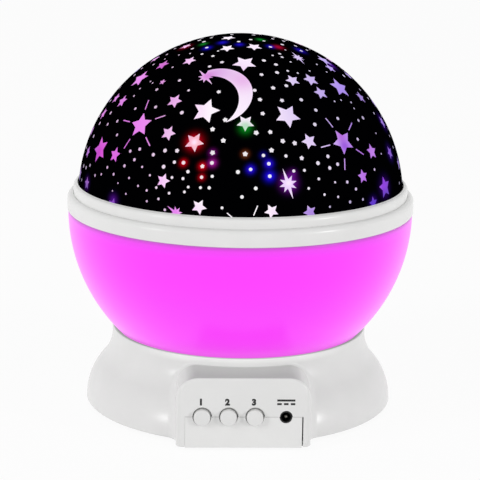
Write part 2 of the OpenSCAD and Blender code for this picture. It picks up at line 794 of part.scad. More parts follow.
module led_wires() {
    bend = 2;
    color("gray") for (i = [-1.5 : 1 : 1.5]) translate([i * 2.4 * wire_r, 0, 0]) {
        translate([0, 0, wire_z + bend]) cylinder(r = wire_r, h = lamp_z - wire_z - bend);
        translate([0, -bend, wire_z + bend]) rotate([90, 0, 90]) rotate([0, 0, 270])
            rotate_extrude(angle = 90) translate([bend, 0]) circle(r = wire_r);
        translate([0, board_y + board_t, wire_z]) rod_y(wire_r, -bend - board_y - board_t);
    }
}

// Section of the bowl between two radii, from its floor up to the ring
module bowl_section(r) {
    intersection() {
        translate([0, bowl_z]) circle(r = r, $fn = 144);
        translate([0, floor_z]) square([ring_r, ring_z - floor_z]);
    }
}

module bowl() {
    color("orchid") difference() {
        rotate_extrude() {
            difference() {
                bowl_section(bowl_r);
                difference() {
                    bowl_section(bowl_r - bowl_wall);
                    translate([0, floor_z]) square([ring_r, wall]);
                }
            }
            // step and collar that carry the ring
            collar_in = collar_r - spigot_wall;
            translate([collar_in, ring_z - wall]) square([bowl_r - 0.2 - collar_in, wall]);
            translate([collar_in, ring_z - wall]) square([spigot_wall, collar_top - ring_z + wall]);
        }
        translate([0, 0, floor_z - cut]) cylinder(r = hub_out + fit, h = wall + 2 * cut);
        around(bowl_screw_ring, [30 : 120 : 270]) {
            translate([0, 0, floor_z - cut]) cylinder(r = bowl_screw_r + thread_gap, h = wall + 2 * cut);
        }
    }
}

module bowl_screws() {
    color("silver") around(bowl_screw_ring, [30 : 120 : 270]) {
        translate([0, 0, floor_z + wall])
            rotate([180, 0, 0]) screw(bowl_screw_r, wall + gear_t - 0.6, 2.1, 1.3);
    }
}

// Lugs on one ring, centred on three angles
module lugs(r_in, r_out, z, t, span, shift = 0) {
    for (a = [0, 120, 240]) rotate([0, 0, a - span / 2 + shift]) {
        translate([0, 0, z]) rotate_extrude(angle = span) translate([r_in, 0]) square([r_out - r_in, t]);
    }
}

module bowl_ring() {
    round = 0.5;
    color("whitesmoke") {
        rotate_extrude() {
            translate([bore_r, ring_z]) square([ring_wall - round, ring_h]);
            translate([bore_r, ring_z + round]) square([ring_wall, ring_h - 2 * round]);
            for (z = [ring_z + round, ring_top - round]) translate([ring_r - round, z]) circle(r = round);
        }
        // catches over the lid's lugs, with a stop at one end of each
        lugs(skirt_r + 0.3, bore_r + 0.1, catch_z, catch_t, lug_span);
        lugs(skirt_r + 0.3, bore_r + 0.1, lug_z, catch_z - lug_z + catch_t, 2.5, -lug_span / 2 - 2);
    }
}

module lid_bayonet() {
    color("whitesmoke") {
        rotate_extrude() {
            translate([skirt_r - skirt_wall, lug_z - 2]) square([skirt_wall, lid_z + web_t - lug_z + 2]);
            translate([skirt_r - skirt_wall, lid_z]) square([rim_flange - skirt_r + skirt_wall, web_t]);
        }
        lugs(skirt_r - 0.2, bore_r - 0.35, lug_z, lug_t, lug_span);
    }
}

module lid_ring() {
    bead = min(lid_h - 0.3, lid_r - lip_r - 0.3);
    recess = web_t + rim_flange_t + fit;
    color("whitesmoke") rotate_extrude() difference() {
        union() {
            translate([lip_r, lid_z]) square([lid_r - lip_r - bead, lid_h]);
            translate([lip_r, lid_z]) square([lid_r - lip_r, lid_h - bead]);
            intersection() {
                translate([lid_r - bead, lid_top - bead]) circle(r = bead);
                translate([lip_r, lid_z]) square([lid_r, lid_h]);
            }
        }
        translate([0, lid_z - cut]) square([rim_bore, recess + cut]);
    }
}

module dome_shell() {
    flange_z = lid_z + web_t;
    color("white", 0.5) rotate_extrude() {
        intersection() {
            difference() {
                translate([0, dome_z]) circle(r = shell_r, $fn = 144);
                translate([0, dome_z]) circle(r = shell_r - dome_wall, $fn = 144);
            }
            translate([0, flange_z]) square([ring_r, dome_r * 2]);
        }
        translate([shell_r - 2, flange_z]) square([rim_flange - shell_r + 2, rim_flange_t]);
    }
}

// Children stand on the dome's skin at one place, their Z pointing out
module on_dome(p) {
    translate([0, 0, dome_z]) rotate([-p[1], 0, p[0]]) rotate([90, 0, 0]) rotate([0, 0, p[3]]) children();
}

// A prism through the mask
module window() {
    translate([0, 0, dome_r - 3 * mask_t]) linear_extrude(5 * mask_t) children();
}

module sun_rays(r) {
    for (a = [0 : 72 : 288]) rotate([0, 0, a]) translate([-0.05 * r, 1.3 * r]) square([0.1 * r, 0.85 * r]);
}

module crescent(r) {
    difference() {
        circle(r = r);
        translate([-0.271 * r, -0.267 * r]) circle(r = 0.932 * r);
        // the upper tip ends in the twinkle beside it
        translate([-r, 0]) square([0.55 * r, r]);
    }
}

// The mask's skin between two heights
module mask_skin(low, high) {
    rotate_extrude() intersection() {
        difference() {
            translate([0, dome_z]) circle(r = dome_r, $fn = 144);
            translate([0, dome_z]) circle(r = shell_r, $fn = 144);
        }
        translate([0, low]) square([dome_r, high - low]);
    }
}

// The windows end above a closed band that stands in the lid's rim
module star_mask() {
    band_top = lid_top + 0.2;
    color("black") mask_skin(lid_top - 0.9, band_top);
    color("black") difference() {
        mask_skin(band_top, band_top + 2 * dome_r);
        for (p = both_sides(sun_stars)) on_dome(p) window() {
            polygon(star_points(p[2], 5, star_waist));
            sun_rays(p[2]);
        }
        for (p = both_sides(plain_stars)) on_dome(p) window() polygon(star_points(p[2], 5, star_waist));
        for (p = both_sides(twinkles)) on_dome(p) window() polygon(twinkle_points(p[2]));
        for (p = both_sides(moons)) on_dome(p) window() crescent(p[2]);
        for (p = dots) on_dome([p[0], p[1], p[2], 0]) window() circle(r = p[2], $fn = 16);
    }
}

base_shell();
base_plate();
rubber_feet();
case_screws();
battery_box();
battery_contacts();
battery_springs();
battery_door();
switch_board();
board_parts();
switch_housings();
plunger(0);  // light_plunger
plunger(1);  // colour_plunger
plunger(2);  // spin_plunger
button_cap(0);  // light_button
button_cap(1);  // colour_button
button_cap(2);  // spin_button
dc_jack();
jack_pin();
gear_motor();
motor_screws();
motor_shaft();
motor_pinion();
thrust_washer();
led_post();
post_screws();
led_board();
warm_led();
color("red") colour_lamp(90);  // red_led
color("limegreen") colour_lamp(210);  // green_led
color("royalblue") colour_lamp(330);  // blue_led
led_wires();
drive_gear();
bowl();
bowl_screws();
bowl_ring();
lid_bayonet();
lid_ring();
dome_shell();
star_mask();
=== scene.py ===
# %% [markdown]
# # A star night light, dressed piece by piece
#
# The lamp stands on a flared white base with a small control pod. A translucent pink bowl turns on the base,
# a two-part white ring closes it, and a black dome with star windows covers the lamps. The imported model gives
# every size and place, and each visible piece is made here as a smooth surface around it.

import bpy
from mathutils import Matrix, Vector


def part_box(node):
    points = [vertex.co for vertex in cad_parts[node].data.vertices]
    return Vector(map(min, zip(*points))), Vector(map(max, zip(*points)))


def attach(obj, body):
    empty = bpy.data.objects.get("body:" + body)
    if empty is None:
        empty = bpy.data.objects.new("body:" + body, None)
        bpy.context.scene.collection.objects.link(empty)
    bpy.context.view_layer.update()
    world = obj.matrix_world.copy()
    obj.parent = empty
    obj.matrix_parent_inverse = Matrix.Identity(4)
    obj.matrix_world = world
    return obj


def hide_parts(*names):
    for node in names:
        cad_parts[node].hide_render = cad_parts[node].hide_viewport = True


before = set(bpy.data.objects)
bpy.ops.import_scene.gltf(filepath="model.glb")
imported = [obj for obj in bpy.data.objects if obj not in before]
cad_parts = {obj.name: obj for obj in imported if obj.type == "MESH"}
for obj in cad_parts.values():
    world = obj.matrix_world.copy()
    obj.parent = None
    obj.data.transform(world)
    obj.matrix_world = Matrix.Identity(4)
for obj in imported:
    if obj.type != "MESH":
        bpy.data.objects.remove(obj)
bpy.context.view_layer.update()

import math

import bmesh
import bpy
import numpy as np
from mathutils import Matrix, Vector

MM = 0.001

# %% [markdown]
# ## Sizes read from the model
#
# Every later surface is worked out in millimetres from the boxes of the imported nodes, so a piece can't drift
# away from what carries it. Only values that no box gives, such as a wall or a fillet, are written here.

# %% Measure the nodes
def span(node):
    """Lowest and highest corner of a node, in millimetres."""
    low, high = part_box(node)
    return np.array(low) / MM, np.array(high) / MM


base_low, base_high = span("base_shell")
bowl_low, bowl_high = span("bowl")
ring_low, ring_high = span("bowl_ring")
lid_high = span("lid_ring")[1]
mask_low, mask_high = span("star_mask")
button_span = [span(name) for name in ("light_button", "colour_button", "spin_button")]
jack_low, jack_high = span("dc_jack")

foot_r, face_y, foot_z, neck_z = base_high[0], base_low[1], base_low[2], base_high[2]
ring_r, ring_z, ring_top = ring_high[0], ring_low[2], ring_high[2]
bowl_r, floor_z = bowl_high[0], bowl_low[2]
lid_r, lid_top = lid_high[0], lid_high[2]
button_x = [(low[0] + high[0]) / 2 for low, high in button_span]
button_z = (button_span[0][0][2] + button_span[0][1][2]) / 2
jack_x = (jack_low[0] + jack_high[0]) / 2

# %% Work out the dome, the bowl's middle and the neck
RING_RISE = 0.5  # from the bowl's widest line up to the ring
NECK_GAP, NECK_WALL = 0.06, 1.3

mask_h = mask_high[2] - mask_low[2]
dome_r = (mask_high[0] ** 2 + mask_h ** 2) / (2 * mask_h)
dome_z = mask_high[2] - dome_r
bowl_z = ring_z - RING_RISE
neck_bore = math.sqrt(bowl_r ** 2 - (bowl_z - neck_z) ** 2) + NECK_GAP
neck_r = neck_bore + NECK_WALL
print(f"ring {2 * ring_r:.1f}, neck {2 * neck_r:.1f}, dome radius {dome_r:.2f} about {dome_z:.2f} mm")

# %% [markdown]
# ## From arrays to a mesh
#
# A grid of points has rows and columns, and each cell between them becomes one face. Closing a grid round in
# one direction gives a tube or a turned shape, and closing it in both gives a ring with real walls. Points
# that meet at a seam or at a pole are merged, so every piece is closed.

# %% Grid and piece helpers
MERGE_M = 1e-7  # points closer than this are one point
CREASE = 35  # degrees past which an edge stays sharp


def grid_faces(rows, columns, wrap_columns=False, wrap_rows=False):
    """Faces of a grid: point (row, column) joins its neighbours, and a wrapped side joins the start again."""
    index = np.arange(rows * columns).reshape(rows, columns)
    if wrap_rows:
        index = np.vstack([index, index[:1]])
    if wrap_columns:
        index = np.hstack([index, index[:, :1]])
    cells = [index[:-1, :-1], index[:-1, 1:], index[1:, 1:], index[1:, :-1]]
    return np.stack(cells, axis=-1).reshape(-1, 4)


def shade(mesh, crease=CREASE):
    """Shades all but the creases smooth."""
    mesh.shade_smooth()
    mesh.set_sharp_from_angle(angle=math.radians(crease))


def raw_mesh(name, points, faces):
    """A mesh from points in millimetres."""
    mesh = bpy.data.meshes.new(name)
    mesh.from_pydata((np.asarray(points) * MM).tolist(), [], np.asarray(faces).tolist())
    return mesh


def finish_mesh(mesh, crease=CREASE):
    """Merges the points that meet, drops faces without area and shades the rest."""
    work = bmesh.new()
    work.from_mesh(mesh)
    bmesh.ops.remove_doubles(work, verts=work.verts, dist=MERGE_M)
    bmesh.ops.dissolve_degenerate(work, edges=work.edges, dist=MERGE_M)
    work.to_mesh(mesh)
    work.free()
    shade(mesh, crease)


def linked(name, data):
    """A new object in the scene."""
    item = bpy.data.objects.new(name, data)
    bpy.context.scene.collection.objects.link(item)
    return item


def dress(piece, body, material, replaced=()):
    """Gives a finished object its material, hangs it under the empty of the body that carries it and hides the
    nodes it stands for.
    """
    piece.data.materials.clear()
    piece.data.materials.append(material)
    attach(piece, body)
    if replaced:
        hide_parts(*replaced)
    print(f"{piece.name}: {len(piece.data.polygons)} faces on {body}")


def make_piece(name, points, faces, body, material, replaced=(), colours=None, crease=CREASE):
    """A dressed object from points in millimetres, with a colour for each point where it is lit by a lamp."""
    mesh = raw_mesh(name, points, faces)
    if colours is not None:
        layer = mesh.attributes.new("lamp_light", "FLOAT_COLOR", "POINT")
        solid = np.hstack([colours, np.ones((len(colours), 1))])
        layer.data.foreach_set("color", solid.astype(np.float32).ravel())
    finish_mesh(mesh, crease)
    dress(linked(name, mesh), body, material, replaced)


# %% Turned shapes
def turn(profile, around=192):
    """Points of a profile of [radius, height] carried round Z: (r cos a, r sin a, z) at each angle a."""
    profile = np.asarray(profile, float)
    a = np.arange(around) * 2 * math.pi / around
    r, z = profile[:, :1], profile[:, 1:]
    return np.stack([r * np.cos(a), r * np.sin(a), z + 0 * a], axis=-1).reshape(-1, 3)


def arc(centre, radius, start, end, steps):
    """Points on a circle: centre + radius (cos a, sin a), from one angle to another in degrees."""
    a = np.radians(np.linspace(start, end, steps))
    return np.stack([centre[0] + radius * np.cos(a), centre[1] + radius * np.sin(a)], axis=-1)


def turned_piece(name, profile, around, body, material, replaced=()):
    """A ring with real walls: a closed profile carried round the Z axis."""
    faces = grid_faces(len(profile), around, True, True)
    make_piece(name, turn(profile, around), faces, body, material, replaced)


# %% [markdown]
# ## Finishes
#
# Nearly everything here is moulded plastic. A mould gives it a faint unevenness: the gloss wanders a little,
# the colour drifts by less than a shade, and light breaks softly on a skin that isn't perfectly flat. One
# recipe with a different grain size and depth gives each plastic, and the metals get a directional grain.
# What lies level gets painted shade: where the surface points up, the colour turns a little greyer.

# %% Colour and node helpers
def linear(colour):
    """Linear RGBA of an sRGB hex colour: ((c + 0.055) / 1.055) ^ 2.4, or c / 12.92 near black."""
    values = [int(colour[i:i + 2], 16) / 255 for i in (1, 3, 5)]
    return [((c + 0.055) / 1.055) ** 2.4 if c > 0.04045 else c / 12.92 for c in values] + [1.0]


def add(owner, kind, inputs=None, stops=(), **settings):
    """Adds a shader node: an input that is a socket gets linked, and stops are a ramp's (place, colour)."""
    node = owner.node_tree.nodes.new("ShaderNode" + kind)
    for name, value in settings.items():
        setattr(node, name, value)
    for name, value in (inputs or {}).items():
        if isinstance(value, bpy.types.NodeSocket):
            owner.node_tree.links.new(value, node.inputs[name])
        else:
            node.inputs[name].default_value = value
    if stops:
        elements = node.color_ramp.elements
        while len(elements) < len(stops):
            elements.new(0.5)
        for element, (place, colour) in zip(elements, stops):
            element.position = place
            element.color = linear(colour)
    return node


def new_material(name):
    """An empty material, and the object's own coordinates in it."""
    material = bpy.data.materials.new(name)
    material.use_nodes = True
    material.node_tree.nodes.clear()
    return material, add(material, "TexCoord").outputs["Object"]


def close_material(material, shader):
    """Links the last shader to the output."""
    add(material, "OutputMaterial", {"Surface": shader.outputs[0]})
    return material


# %% The recipe for plastic, rubber and metal
DRIFT_MM = 14  # size of the clouds in which the colour drifts
LEVEL_FROM, LEVEL_TO = 0.8, 0.98  # upward share of the normal where the painted shade starts and is full


def moulded(name, light, dark, rough=0.3, grain_mm=0.8, skin_mm=0.004, wander=0.04, stretch=(1, 1, 1),
            level_shade=None, **sockets):
    """Colour drifts over a broad noise, gloss and skin follow a fine one, and painted shade greys what lies
    level.
    """
    material, place = new_material(name)
    broad = add(material, "TexNoise", {"Vector": place, "Scale": 1 / (DRIFT_MM * MM), "Detail": 2.0})
    shape = add(material, "Mapping", {"Vector": place, "Scale": stretch})
    fine = add(material, "TexNoise", {"Vector": shape.outputs[0], "Scale": 1 / (grain_mm * MM), "Detail": 1.0,
                                      "Roughness": 0.5})
    colour = add(material, "ValToRGB", {"Fac": broad.outputs[0]}, [(0.32, dark), (0.68, light)])
    # Painted shade: faces that point up turn toward the given darker colour.
    if level_shade:
        normal = add(material, "TexCoord").outputs["Normal"]
        facing = add(material, "SeparateXYZ", {"Vector": normal})
        level_share = add(material, "MapRange", {"Value": facing.outputs["Z"], "From Min": LEVEL_FROM,
                                             "From Max": LEVEL_TO})
        colour = add(material, "MixRGB", {"Fac": level_share.outputs[0], "Color1": colour.outputs[0],
                                          "Color2": linear(level_shade)})
    gloss = add(material, "MapRange", {"Value": fine.outputs[0], "From Min": 0.3, "From Max": 0.7,
                                       "To Min": rough - wander, "To Max": rough + wander})
    skin = add(material, "Bump", {"Height": fine.outputs[0], "Distance": skin_mm * MM, "Strength": 1.0})
    shader = add(material, "BsdfPrincipled", {"Base Color": colour.outputs[0], "Roughness": gloss.outputs[0],
                                              "Normal": skin.outputs[0], **sockets})
    return close_material(material, shader)


# %% [markdown]
# ### White ABS, black PBT, rubber and the like
#
# ABS leaves a polished mould with a soft gloss and a slightly uneven skin, so highlights on the base are
# broad with a gentle edge. Acetal is duller and waxy, rubber scatters nearly all light, and nylon and PBT are
# satin. The base is the same ABS as the ring, but painted shade greys its ledges more, and the thin lip under
# the bowl has a painted glow, so it looks brighter than the flare below it.

# %% Plastics and rubber
# The last colour is painted shade on faces that point up, such as the ring's shoulder.
white_abs = moulded("moulded_white_ABS", "#ececeb", "#e9e9e8", rough=0.26, grain_mm=1.6, skin_mm=0.001,
                    wander=0.006, level_shade="#dfdfde")
# A copy of the ABS with painted light: darker painted shade on the pod's ledge under the bowl, and a painted
# glow on the lip.
base_abs_with_painted_light = moulded("moulded_white_ABS_base_with_painted_light", "#e9e9e8", "#e6e6e5", rough=0.26, grain_mm=1.6, skin_mm=0.001,
                   wander=0.006, level_shade="#cbcbca")
button_abs = moulded("polished_button_ABS", "#e8e8e7", "#e4e4e3", rough=0.22, grain_mm=0.9, skin_mm=0.001,
                     wander=0.006)
white_inner = moulded("moulded_ABS_inside", "#dededc", "#d8d8d5", rough=0.45, grain_mm=0.7, skin_mm=0.006)
black_plastic = moulded("moulded_black_PBT", "#151516", "#0e0e0f", rough=0.38, grain_mm=0.4)
grey_plastic = moulded("moulded_grey_nylon", "#6b6d70", "#5f6164", rough=0.45, grain_mm=0.4)
acetal = moulded("moulded_acetal", "#f3f2ee", "#eceae4", rough=0.4, grain_mm=0.9)
rubber = moulded("soft_rubber", "#3a3a3b", "#303031", rough=0.8, grain_mm=0.5, skin_mm=0.02)
sleeve = moulded("wire_sleeve_PVC", "#b9b9bb", "#a9a9ac", rough=0.5, grain_mm=0.5)

# %% Painted glow in the lip
PAINTED_LIP_GLOW = 0.24  # strength of the painted glow
LIP_Z_MM = 27.0, 28.6  # the painted glow grows over this height
LIP_Y_MM = 30, 54  # and from the sides toward the front and the back


def paint_lip_glow(material):
    """Adds a painted glow: its share of the height range times its share of the range of |y|."""
    place = add(material, "TexCoord").outputs["Object"]
    place = add(material, "SeparateXYZ", {"Vector": place})
    deep = add(material, "Math", {0: place.outputs["Y"]}, operation="ABSOLUTE")
    deep = add(material, "MapRange", {"Value": deep.outputs[0], "From Min": LIP_Y_MM[0] * MM,
                                      "From Max": LIP_Y_MM[1] * MM})
    high = add(material, "MapRange", {"Value": place.outputs["Z"], "From Min": LIP_Z_MM[0] * MM,
                                      "From Max": LIP_Z_MM[1] * MM, "To Max": PAINTED_LIP_GLOW})
    share = add(material, "Math", {0: deep.outputs[0], 1: high.outputs[0]}, operation="MULTIPLY")
    shader = next(node for node in material.node_tree.nodes if node.type == "BSDF_PRINCIPLED")
    # Painted light: the white plastic glows, which brightens the lip under the bowl.
    shader.inputs["Emission Color"].default_value = linear("#f4f6f2")
    material.node_tree.links.new(share.outputs[0], shader.inputs["Emission Strength"])


paint_lip_glow(base_abs_with_painted_light)
print("plastics and rubber:", len(bpy.data.materials))

# %% [markdown]
# ### Steel, nickel and brass
#
# The screws and the motor's can are zinc-plated steel, drawn or turned, so a fine grain runs round or along
# them. The contacts and springs are nickel-plated, brighter and smoother, the jack's pin is a darker, duller
# nickel, and the pinion is cut brass.

# %% Metals
steel = moulded("zinc_plated_steel", "#b4b7bb", "#a2a5aa", rough=0.33, grain_mm=0.3, skin_mm=0.003,
                stretch=(1, 1, 6), Metallic=1.0)
nickel = moulded("bright_nickel", "#d2cdc2", "#c2bdb2", rough=0.2, grain_mm=0.4, skin_mm=0.002,
                 stretch=(6, 1, 1), Metallic=1.0)
dull_nickel = moulded("dull_nickel", "#77746e", "#66635e", rough=0.4, grain_mm=0.3, skin_mm=0.003,
                      Metallic=1.0)
brass = moulded("cut_brass", "#d9b45f", "#c59f4d", rough=0.3, grain_mm=0.3, skin_mm=0.003, Metallic=1.0)

# %% [markdown]
# ### Circuit boards
#
# Both boards are glass-fibre laminate under a lacquer. Copper tracks show through it as bands of another
# shade, about 1.6 mm wide with gaps of the same width, and a pattern of coarse cells keeps only some of them.
# Real tracks are finer, but they wouldn't show at this size.

# %% Lacquered boards
TRACK_PITCH_MM, CELL_MM = 3.17, 7
WAVES_PER_UNIT = 20 / (2 * math.pi)  # bands of the Wave Texture in one unit at scale 1


def laminate(name, field, track):
    """Tracks are the bands of a wave along X, times 1 near the middle of each cell and 0 elsewhere."""
    material, place = new_material(name)
    cells = add(material, "TexVoronoi", {"Vector": place, "Scale": 1 / (CELL_MM * MM)}, distance="CHEBYCHEV")
    bands = add(material, "TexWave", {"Vector": place, "Scale": 1 / (WAVES_PER_UNIT * TRACK_PITCH_MM * MM),
                                      "Distortion": 0.0}, wave_type="BANDS", bands_direction="X")
    keep = add(material, "Math", {0: cells.outputs["Distance"], 1: 0.32}, operation="LESS_THAN")
    both = add(material, "Math", {0: bands.outputs[1], 1: keep.outputs[0]}, operation="MULTIPLY")
    colour = add(material, "ValToRGB", {"Fac": both.outputs[0]}, [(0.45, field), (0.55, track)])
    lift = add(material, "Bump", {"Height": both.outputs[0], "Distance": 0.03 * MM, "Strength": 1.0})
    shader = add(material, "BsdfPrincipled", {"Base Color": colour.outputs[0], "Roughness": 0.3,
                                              "Normal": lift.outputs[0]})
    return close_material(material, shader)


green_board = laminate("lacquered_green_laminate", "#1d6b3a", "#2f8a4e")
white_board = laminate("lacquered_white_laminate", "#ecece8", "#dcdcd6")

# %% [markdown]
# ### The pink bowl
#
# The bowl is tinted polystyrene, thick enough to spread the light of the lamps behind it, so it glows evenly
# with its own colour and shows no lamp. Its skin is satin, and a weak sheen pales the pink where the wall
# curves away, which gives the bowl its round look. A surface as bright as this would tint the white base
# around it, which the real one, with its dim lamps in a bright room, hardly does. So the camera sees the pink
# glow, while other surfaces are lit by a weaker one of the opposite hue, which leaves them nearly neutral.

# %% Glowing polystyrene
def glowing_bowl():
    """A glow that changes with the height between neck and ring, darkened close to both by painted shade."""
    material, place = new_material("translucent_pink_polystyrene")
    height = add(material, "SeparateXYZ", {"Vector": place}).outputs["Z"]
    climb = add(material, "MapRange", {"Value": height, "From Min": neck_z * MM, "From Max": ring_z * MM})
    # The stops at both ends are painted shade where the neck and the ring meet the bowl, darkest under the
    # ring.
    glow = add(material, "ValToRGB", {"Fac": climb.outputs[0]},
               [(0.0, "#ea3ce6"), (0.05, "#f010ee"), (0.16, "#f800f8"), (0.45, "#f310f4"), (0.7, "#f604f6"),
                (0.9, "#f610f6"), (0.965, "#e62ce8"), (1.0, "#a23aa6")])
    broad = add(material, "TexNoise", {"Vector": place, "Scale": 1 / (16 * MM), "Detail": 1.0})
    skin = add(material, "Bump", {"Height": broad.outputs[0], "Distance": 0.02 * MM, "Strength": 1.0})
    path = add(material, "LightPath")
    onward = add(material, "Math", {0: path.outputs["Is Diffuse Ray"], 1: path.outputs["Is Glossy Ray"]},
                 operation="MAXIMUM")
    seen = add(material, "MixRGB", {"Fac": onward.outputs[0], "Color1": glow.outputs[0],
                                    "Color2": linear("#90b890")})
    shader = add(material, "BsdfPrincipled",
                 {"Base Color": linear("#8f1a92"), "Roughness": 0.32, "Normal": skin.outputs[0],
                  "Emission Color": seen.outputs[0], "Emission Strength": 0.795, "Coat Weight": 0.2,
                  "Coat Roughness": 0.35, "Sheen Weight": 0.3, "Sheen Roughness": 0.5})
    return close_material(material, shader)


pink_bowl = glowing_bowl()

# %% [markdown]
# ### The star dome
#
# The mask is a black moulded skin over a clear dome. Black pigment takes nearly all light, and its specular
# level is set to none, because even a faint mirror image of a bright room would turn it grey. What passes the
# windows comes from coloured lamps, so the windows carry a colour that is worked out for each point of the
# dome, and a little of it is painted onto the mask as a glow around the lamps' brightest spots.

# %% Mask, windows and clear plastic
def lit_skin(name, base, rough, specular):
    """A plastic whose own glow is the colour that the lamps throw on each point of the dome."""
    material, place = new_material(name)
    light = add(material, "Attribute", attribute_name="lamp_light", attribute_type="GEOMETRY")
    fine = add(material, "TexNoise", {"Vector": place, "Scale": 1 / (1.1 * MM), "Detail": 2.0})
    gloss = add(material, "MapRange", {"Value": fine.outputs[0], "To Min": rough - 0.05,
                                       "To Max": rough + 0.05})
    skin = add(material, "Bump", {"Height": fine.outputs[0], "Distance": 0.003 * MM, "Strength": 1.0})
    shader = add(material, "BsdfPrincipled",
                 {"Base Color": linear(base), "Roughness": gloss.outputs[0], "Normal": skin.outputs[0],
                  "Specular IOR Level": specular, "Emission Color": light.outputs["Color"],
                  "Emission Strength": 1.0})
    return close_material(material, shader)


def clear_plastic(name, tint, rough=0.05, glow=0.0):
    """Clear moulded plastic or a lamp's epoxy lens, with a faint flow line in its gloss."""
    material, place = new_material(name)
    flow = add(material, "TexNoise", {"Vector": place, "Scale": 1 / (3 * MM), "Detail": 1.0})
    gloss = add(material, "MapRange", {"Value": flow.outputs[0], "To Min": rough, "To Max": rough + 0.06})
    shader = add(material, "BsdfPrincipled",
                 {"Base Color": linear(tint), "Roughness": gloss.outputs[0], "Transmission Weight": 0.9,
                  "IOR": 1.55, "Emission Color": linear(tint), "Emission Strength": glow})
    return close_material(material, shader)


black_mask = lit_skin("moulded_black_mask_ABS", "#010102", 0.5, 0.0)
window_light = lit_skin("clear_polystyrene_lit_from_inside", "#101012", 0.35, 0.1)
clear_dome = clear_plastic("clear_polystyrene", "#f2f4f6")

# %% Give the nodes that stay their finishes
node_finish = [
    (rubber, "rubber_feet"), (sleeve, "led_wires"), (brass, "motor_pinion"), (dull_nickel, "jack_pin"),
    (steel, "case_screws gear_motor motor_screws motor_shaft post_screws bowl_screws"),
    (nickel, "battery_contacts battery_springs"), (green_board, "switch_board"), (white_board, "led_board"),
    (black_plastic, "board_parts switch_housings dc_jack"), (acetal, "thrust_washer drive_gear"),
    (grey_plastic, "light_plunger colour_plunger spin_plunger"), (clear_dome, "dome_shell"),
    (white_inner, "battery_box led_post lid_bayonet")]
for lamp, lens in (("warm", "#ffe9b8"), ("red", "#ff4a3c"), ("green", "#4dff6a"), ("blue", "#4a6cff")):
    node_finish.append((clear_plastic(f"{lamp}_epoxy_lens", lens, glow=0.8), f"{lamp}_led"))
for material, nodes in node_finish:
    for node in nodes.split():
        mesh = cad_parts[node].data
        mesh.materials.clear()
        mesh.materials.append(material)
    print(f"{material.name}: {nodes}")

# %% [markdown]
# ## The base
#
# The real base is one moulding: an upright foot, a full belly, a hollow waist and a neck, with the control
# pod growing out of its front through a soft fillet. Such a blend is awkward to model face by face. It is
# easy as a distance function: give the distance to the flare and the distance to the pod, join both with a
# rounded union, and look along rays from one inner point for where the joined distance is zero.

# %% Distance to the flare
BELLY_RISE, WAIST_DROP, WAIST_R = 0.4, 2.3, 17.0  # belly over the foot's edge, waist under the neck's

flare_w = foot_r - neck_r
belly_z, waist_z = foot_z + BELLY_RISE, neck_z - WAIST_DROP
sweep_h = waist_z - belly_z
belly_r = (sweep_h ** 2 + flare_w ** 2) / (2 * flare_w) - WAIST_R
belly_at = np.array([foot_r - belly_r, belly_z])
waist_at = np.array([neck_r + WAIST_R, waist_z])


def flare_distance(r, z):
    """Distance to the turned profile: belly circle outside, waist circle inside out, upright lines beyond."""
    axis = (waist_at - belly_at) / (belly_r + WAIST_R)
    above = (r - belly_at[0]) * axis[1] - (z - belly_at[1]) * axis[0] < 0
    belly = np.where(z < belly_z, r - foot_r, np.hypot(r - belly_at[0], z - belly_at[1]) - belly_r)
    waist = np.where(z > waist_z, r - neck_r, WAIST_R - np.hypot(r - waist_at[0], z - waist_at[1]))
    return np.where(above, waist, belly)


print(f"belly radius {belly_r:.1f} mm, waist radius {WAIST_R:.1f} mm")

# %% Distance to the pod, and to both
POD_HALF, POD_TOP, POD_CORNER, POD_BACK = 24.0, 26.8, 8.0, -30
EDGE_ROUND = [POD_TOP - 7, POD_TOP - 1], [1.9, 0.7]  # heights, and the radius of the front edge there
FILLET = [17, 24], [3.0, 1.0]  # heights, and the radius of the fillet round the pod there


def corner_distance(a, b, r):
    """Distance to a round corner, from how far a point lies past the centre line of each side."""
    return np.hypot(np.maximum(a, 0), np.maximum(b, 0)) + np.minimum(np.maximum(a, b), 0) - r


def pod_distance(x, y, z):
    """Distance to a block with round upper corners; its front edge is rounder at the sides than on top."""
    side = corner_distance(np.abs(x) - (POD_HALF - POD_CORNER), z - (POD_TOP - POD_CORNER), POD_CORNER)
    edge = np.interp(z, *EDGE_ROUND)
    return np.maximum(corner_distance(side + edge, face_y - y + edge, edge), y - POD_BACK)


def base_distance(x, y, z):
    """Rounded union of flare and pod: max(f, min(a, b)) less the length of what each lacks to fillet f."""
    a, b, f = flare_distance(np.hypot(x, y), z), pod_distance(x, y, z), np.interp(z, *FILLET)
    return np.maximum(f, np.minimum(a, b)) - np.hypot(np.maximum(f - a, 0), np.maximum(f - b, 0))


# %% Cast the rays
NEAR, FAR, HALVINGS = 15.0, 95.0, 40


def stepped(*runs):
    """Joins runs of (start, end, step) into one rising list without repeats."""
    return np.concatenate([np.arange(start, end - step / 2, step) for start, end, step in runs])


def base_rows(rises, rounds, wall):
    """Points where rays from (0, 0, foot) reach the wall: halve the range until it is found."""
    rise, turned = np.radians(rises)[:, None], np.radians(rounds)[None, :]
    way = np.stack([np.cos(rise) * np.sin(turned), -np.cos(rise) * np.cos(turned), np.sin(rise) + 0 * turned])
    near, far = np.full(way.shape[1:], NEAR), np.full(way.shape[1:], FAR)
    for _ in range(HALVINGS):
        middle = (near + far) / 2
        outside = base_distance(way[0] * middle, way[1] * middle, way[2] * middle + foot_z) > -wall
        far, near = np.where(outside, middle, far), np.where(outside, near, middle)
    return np.moveaxis(way * near, 0, -1) + [0, 0, foot_z]


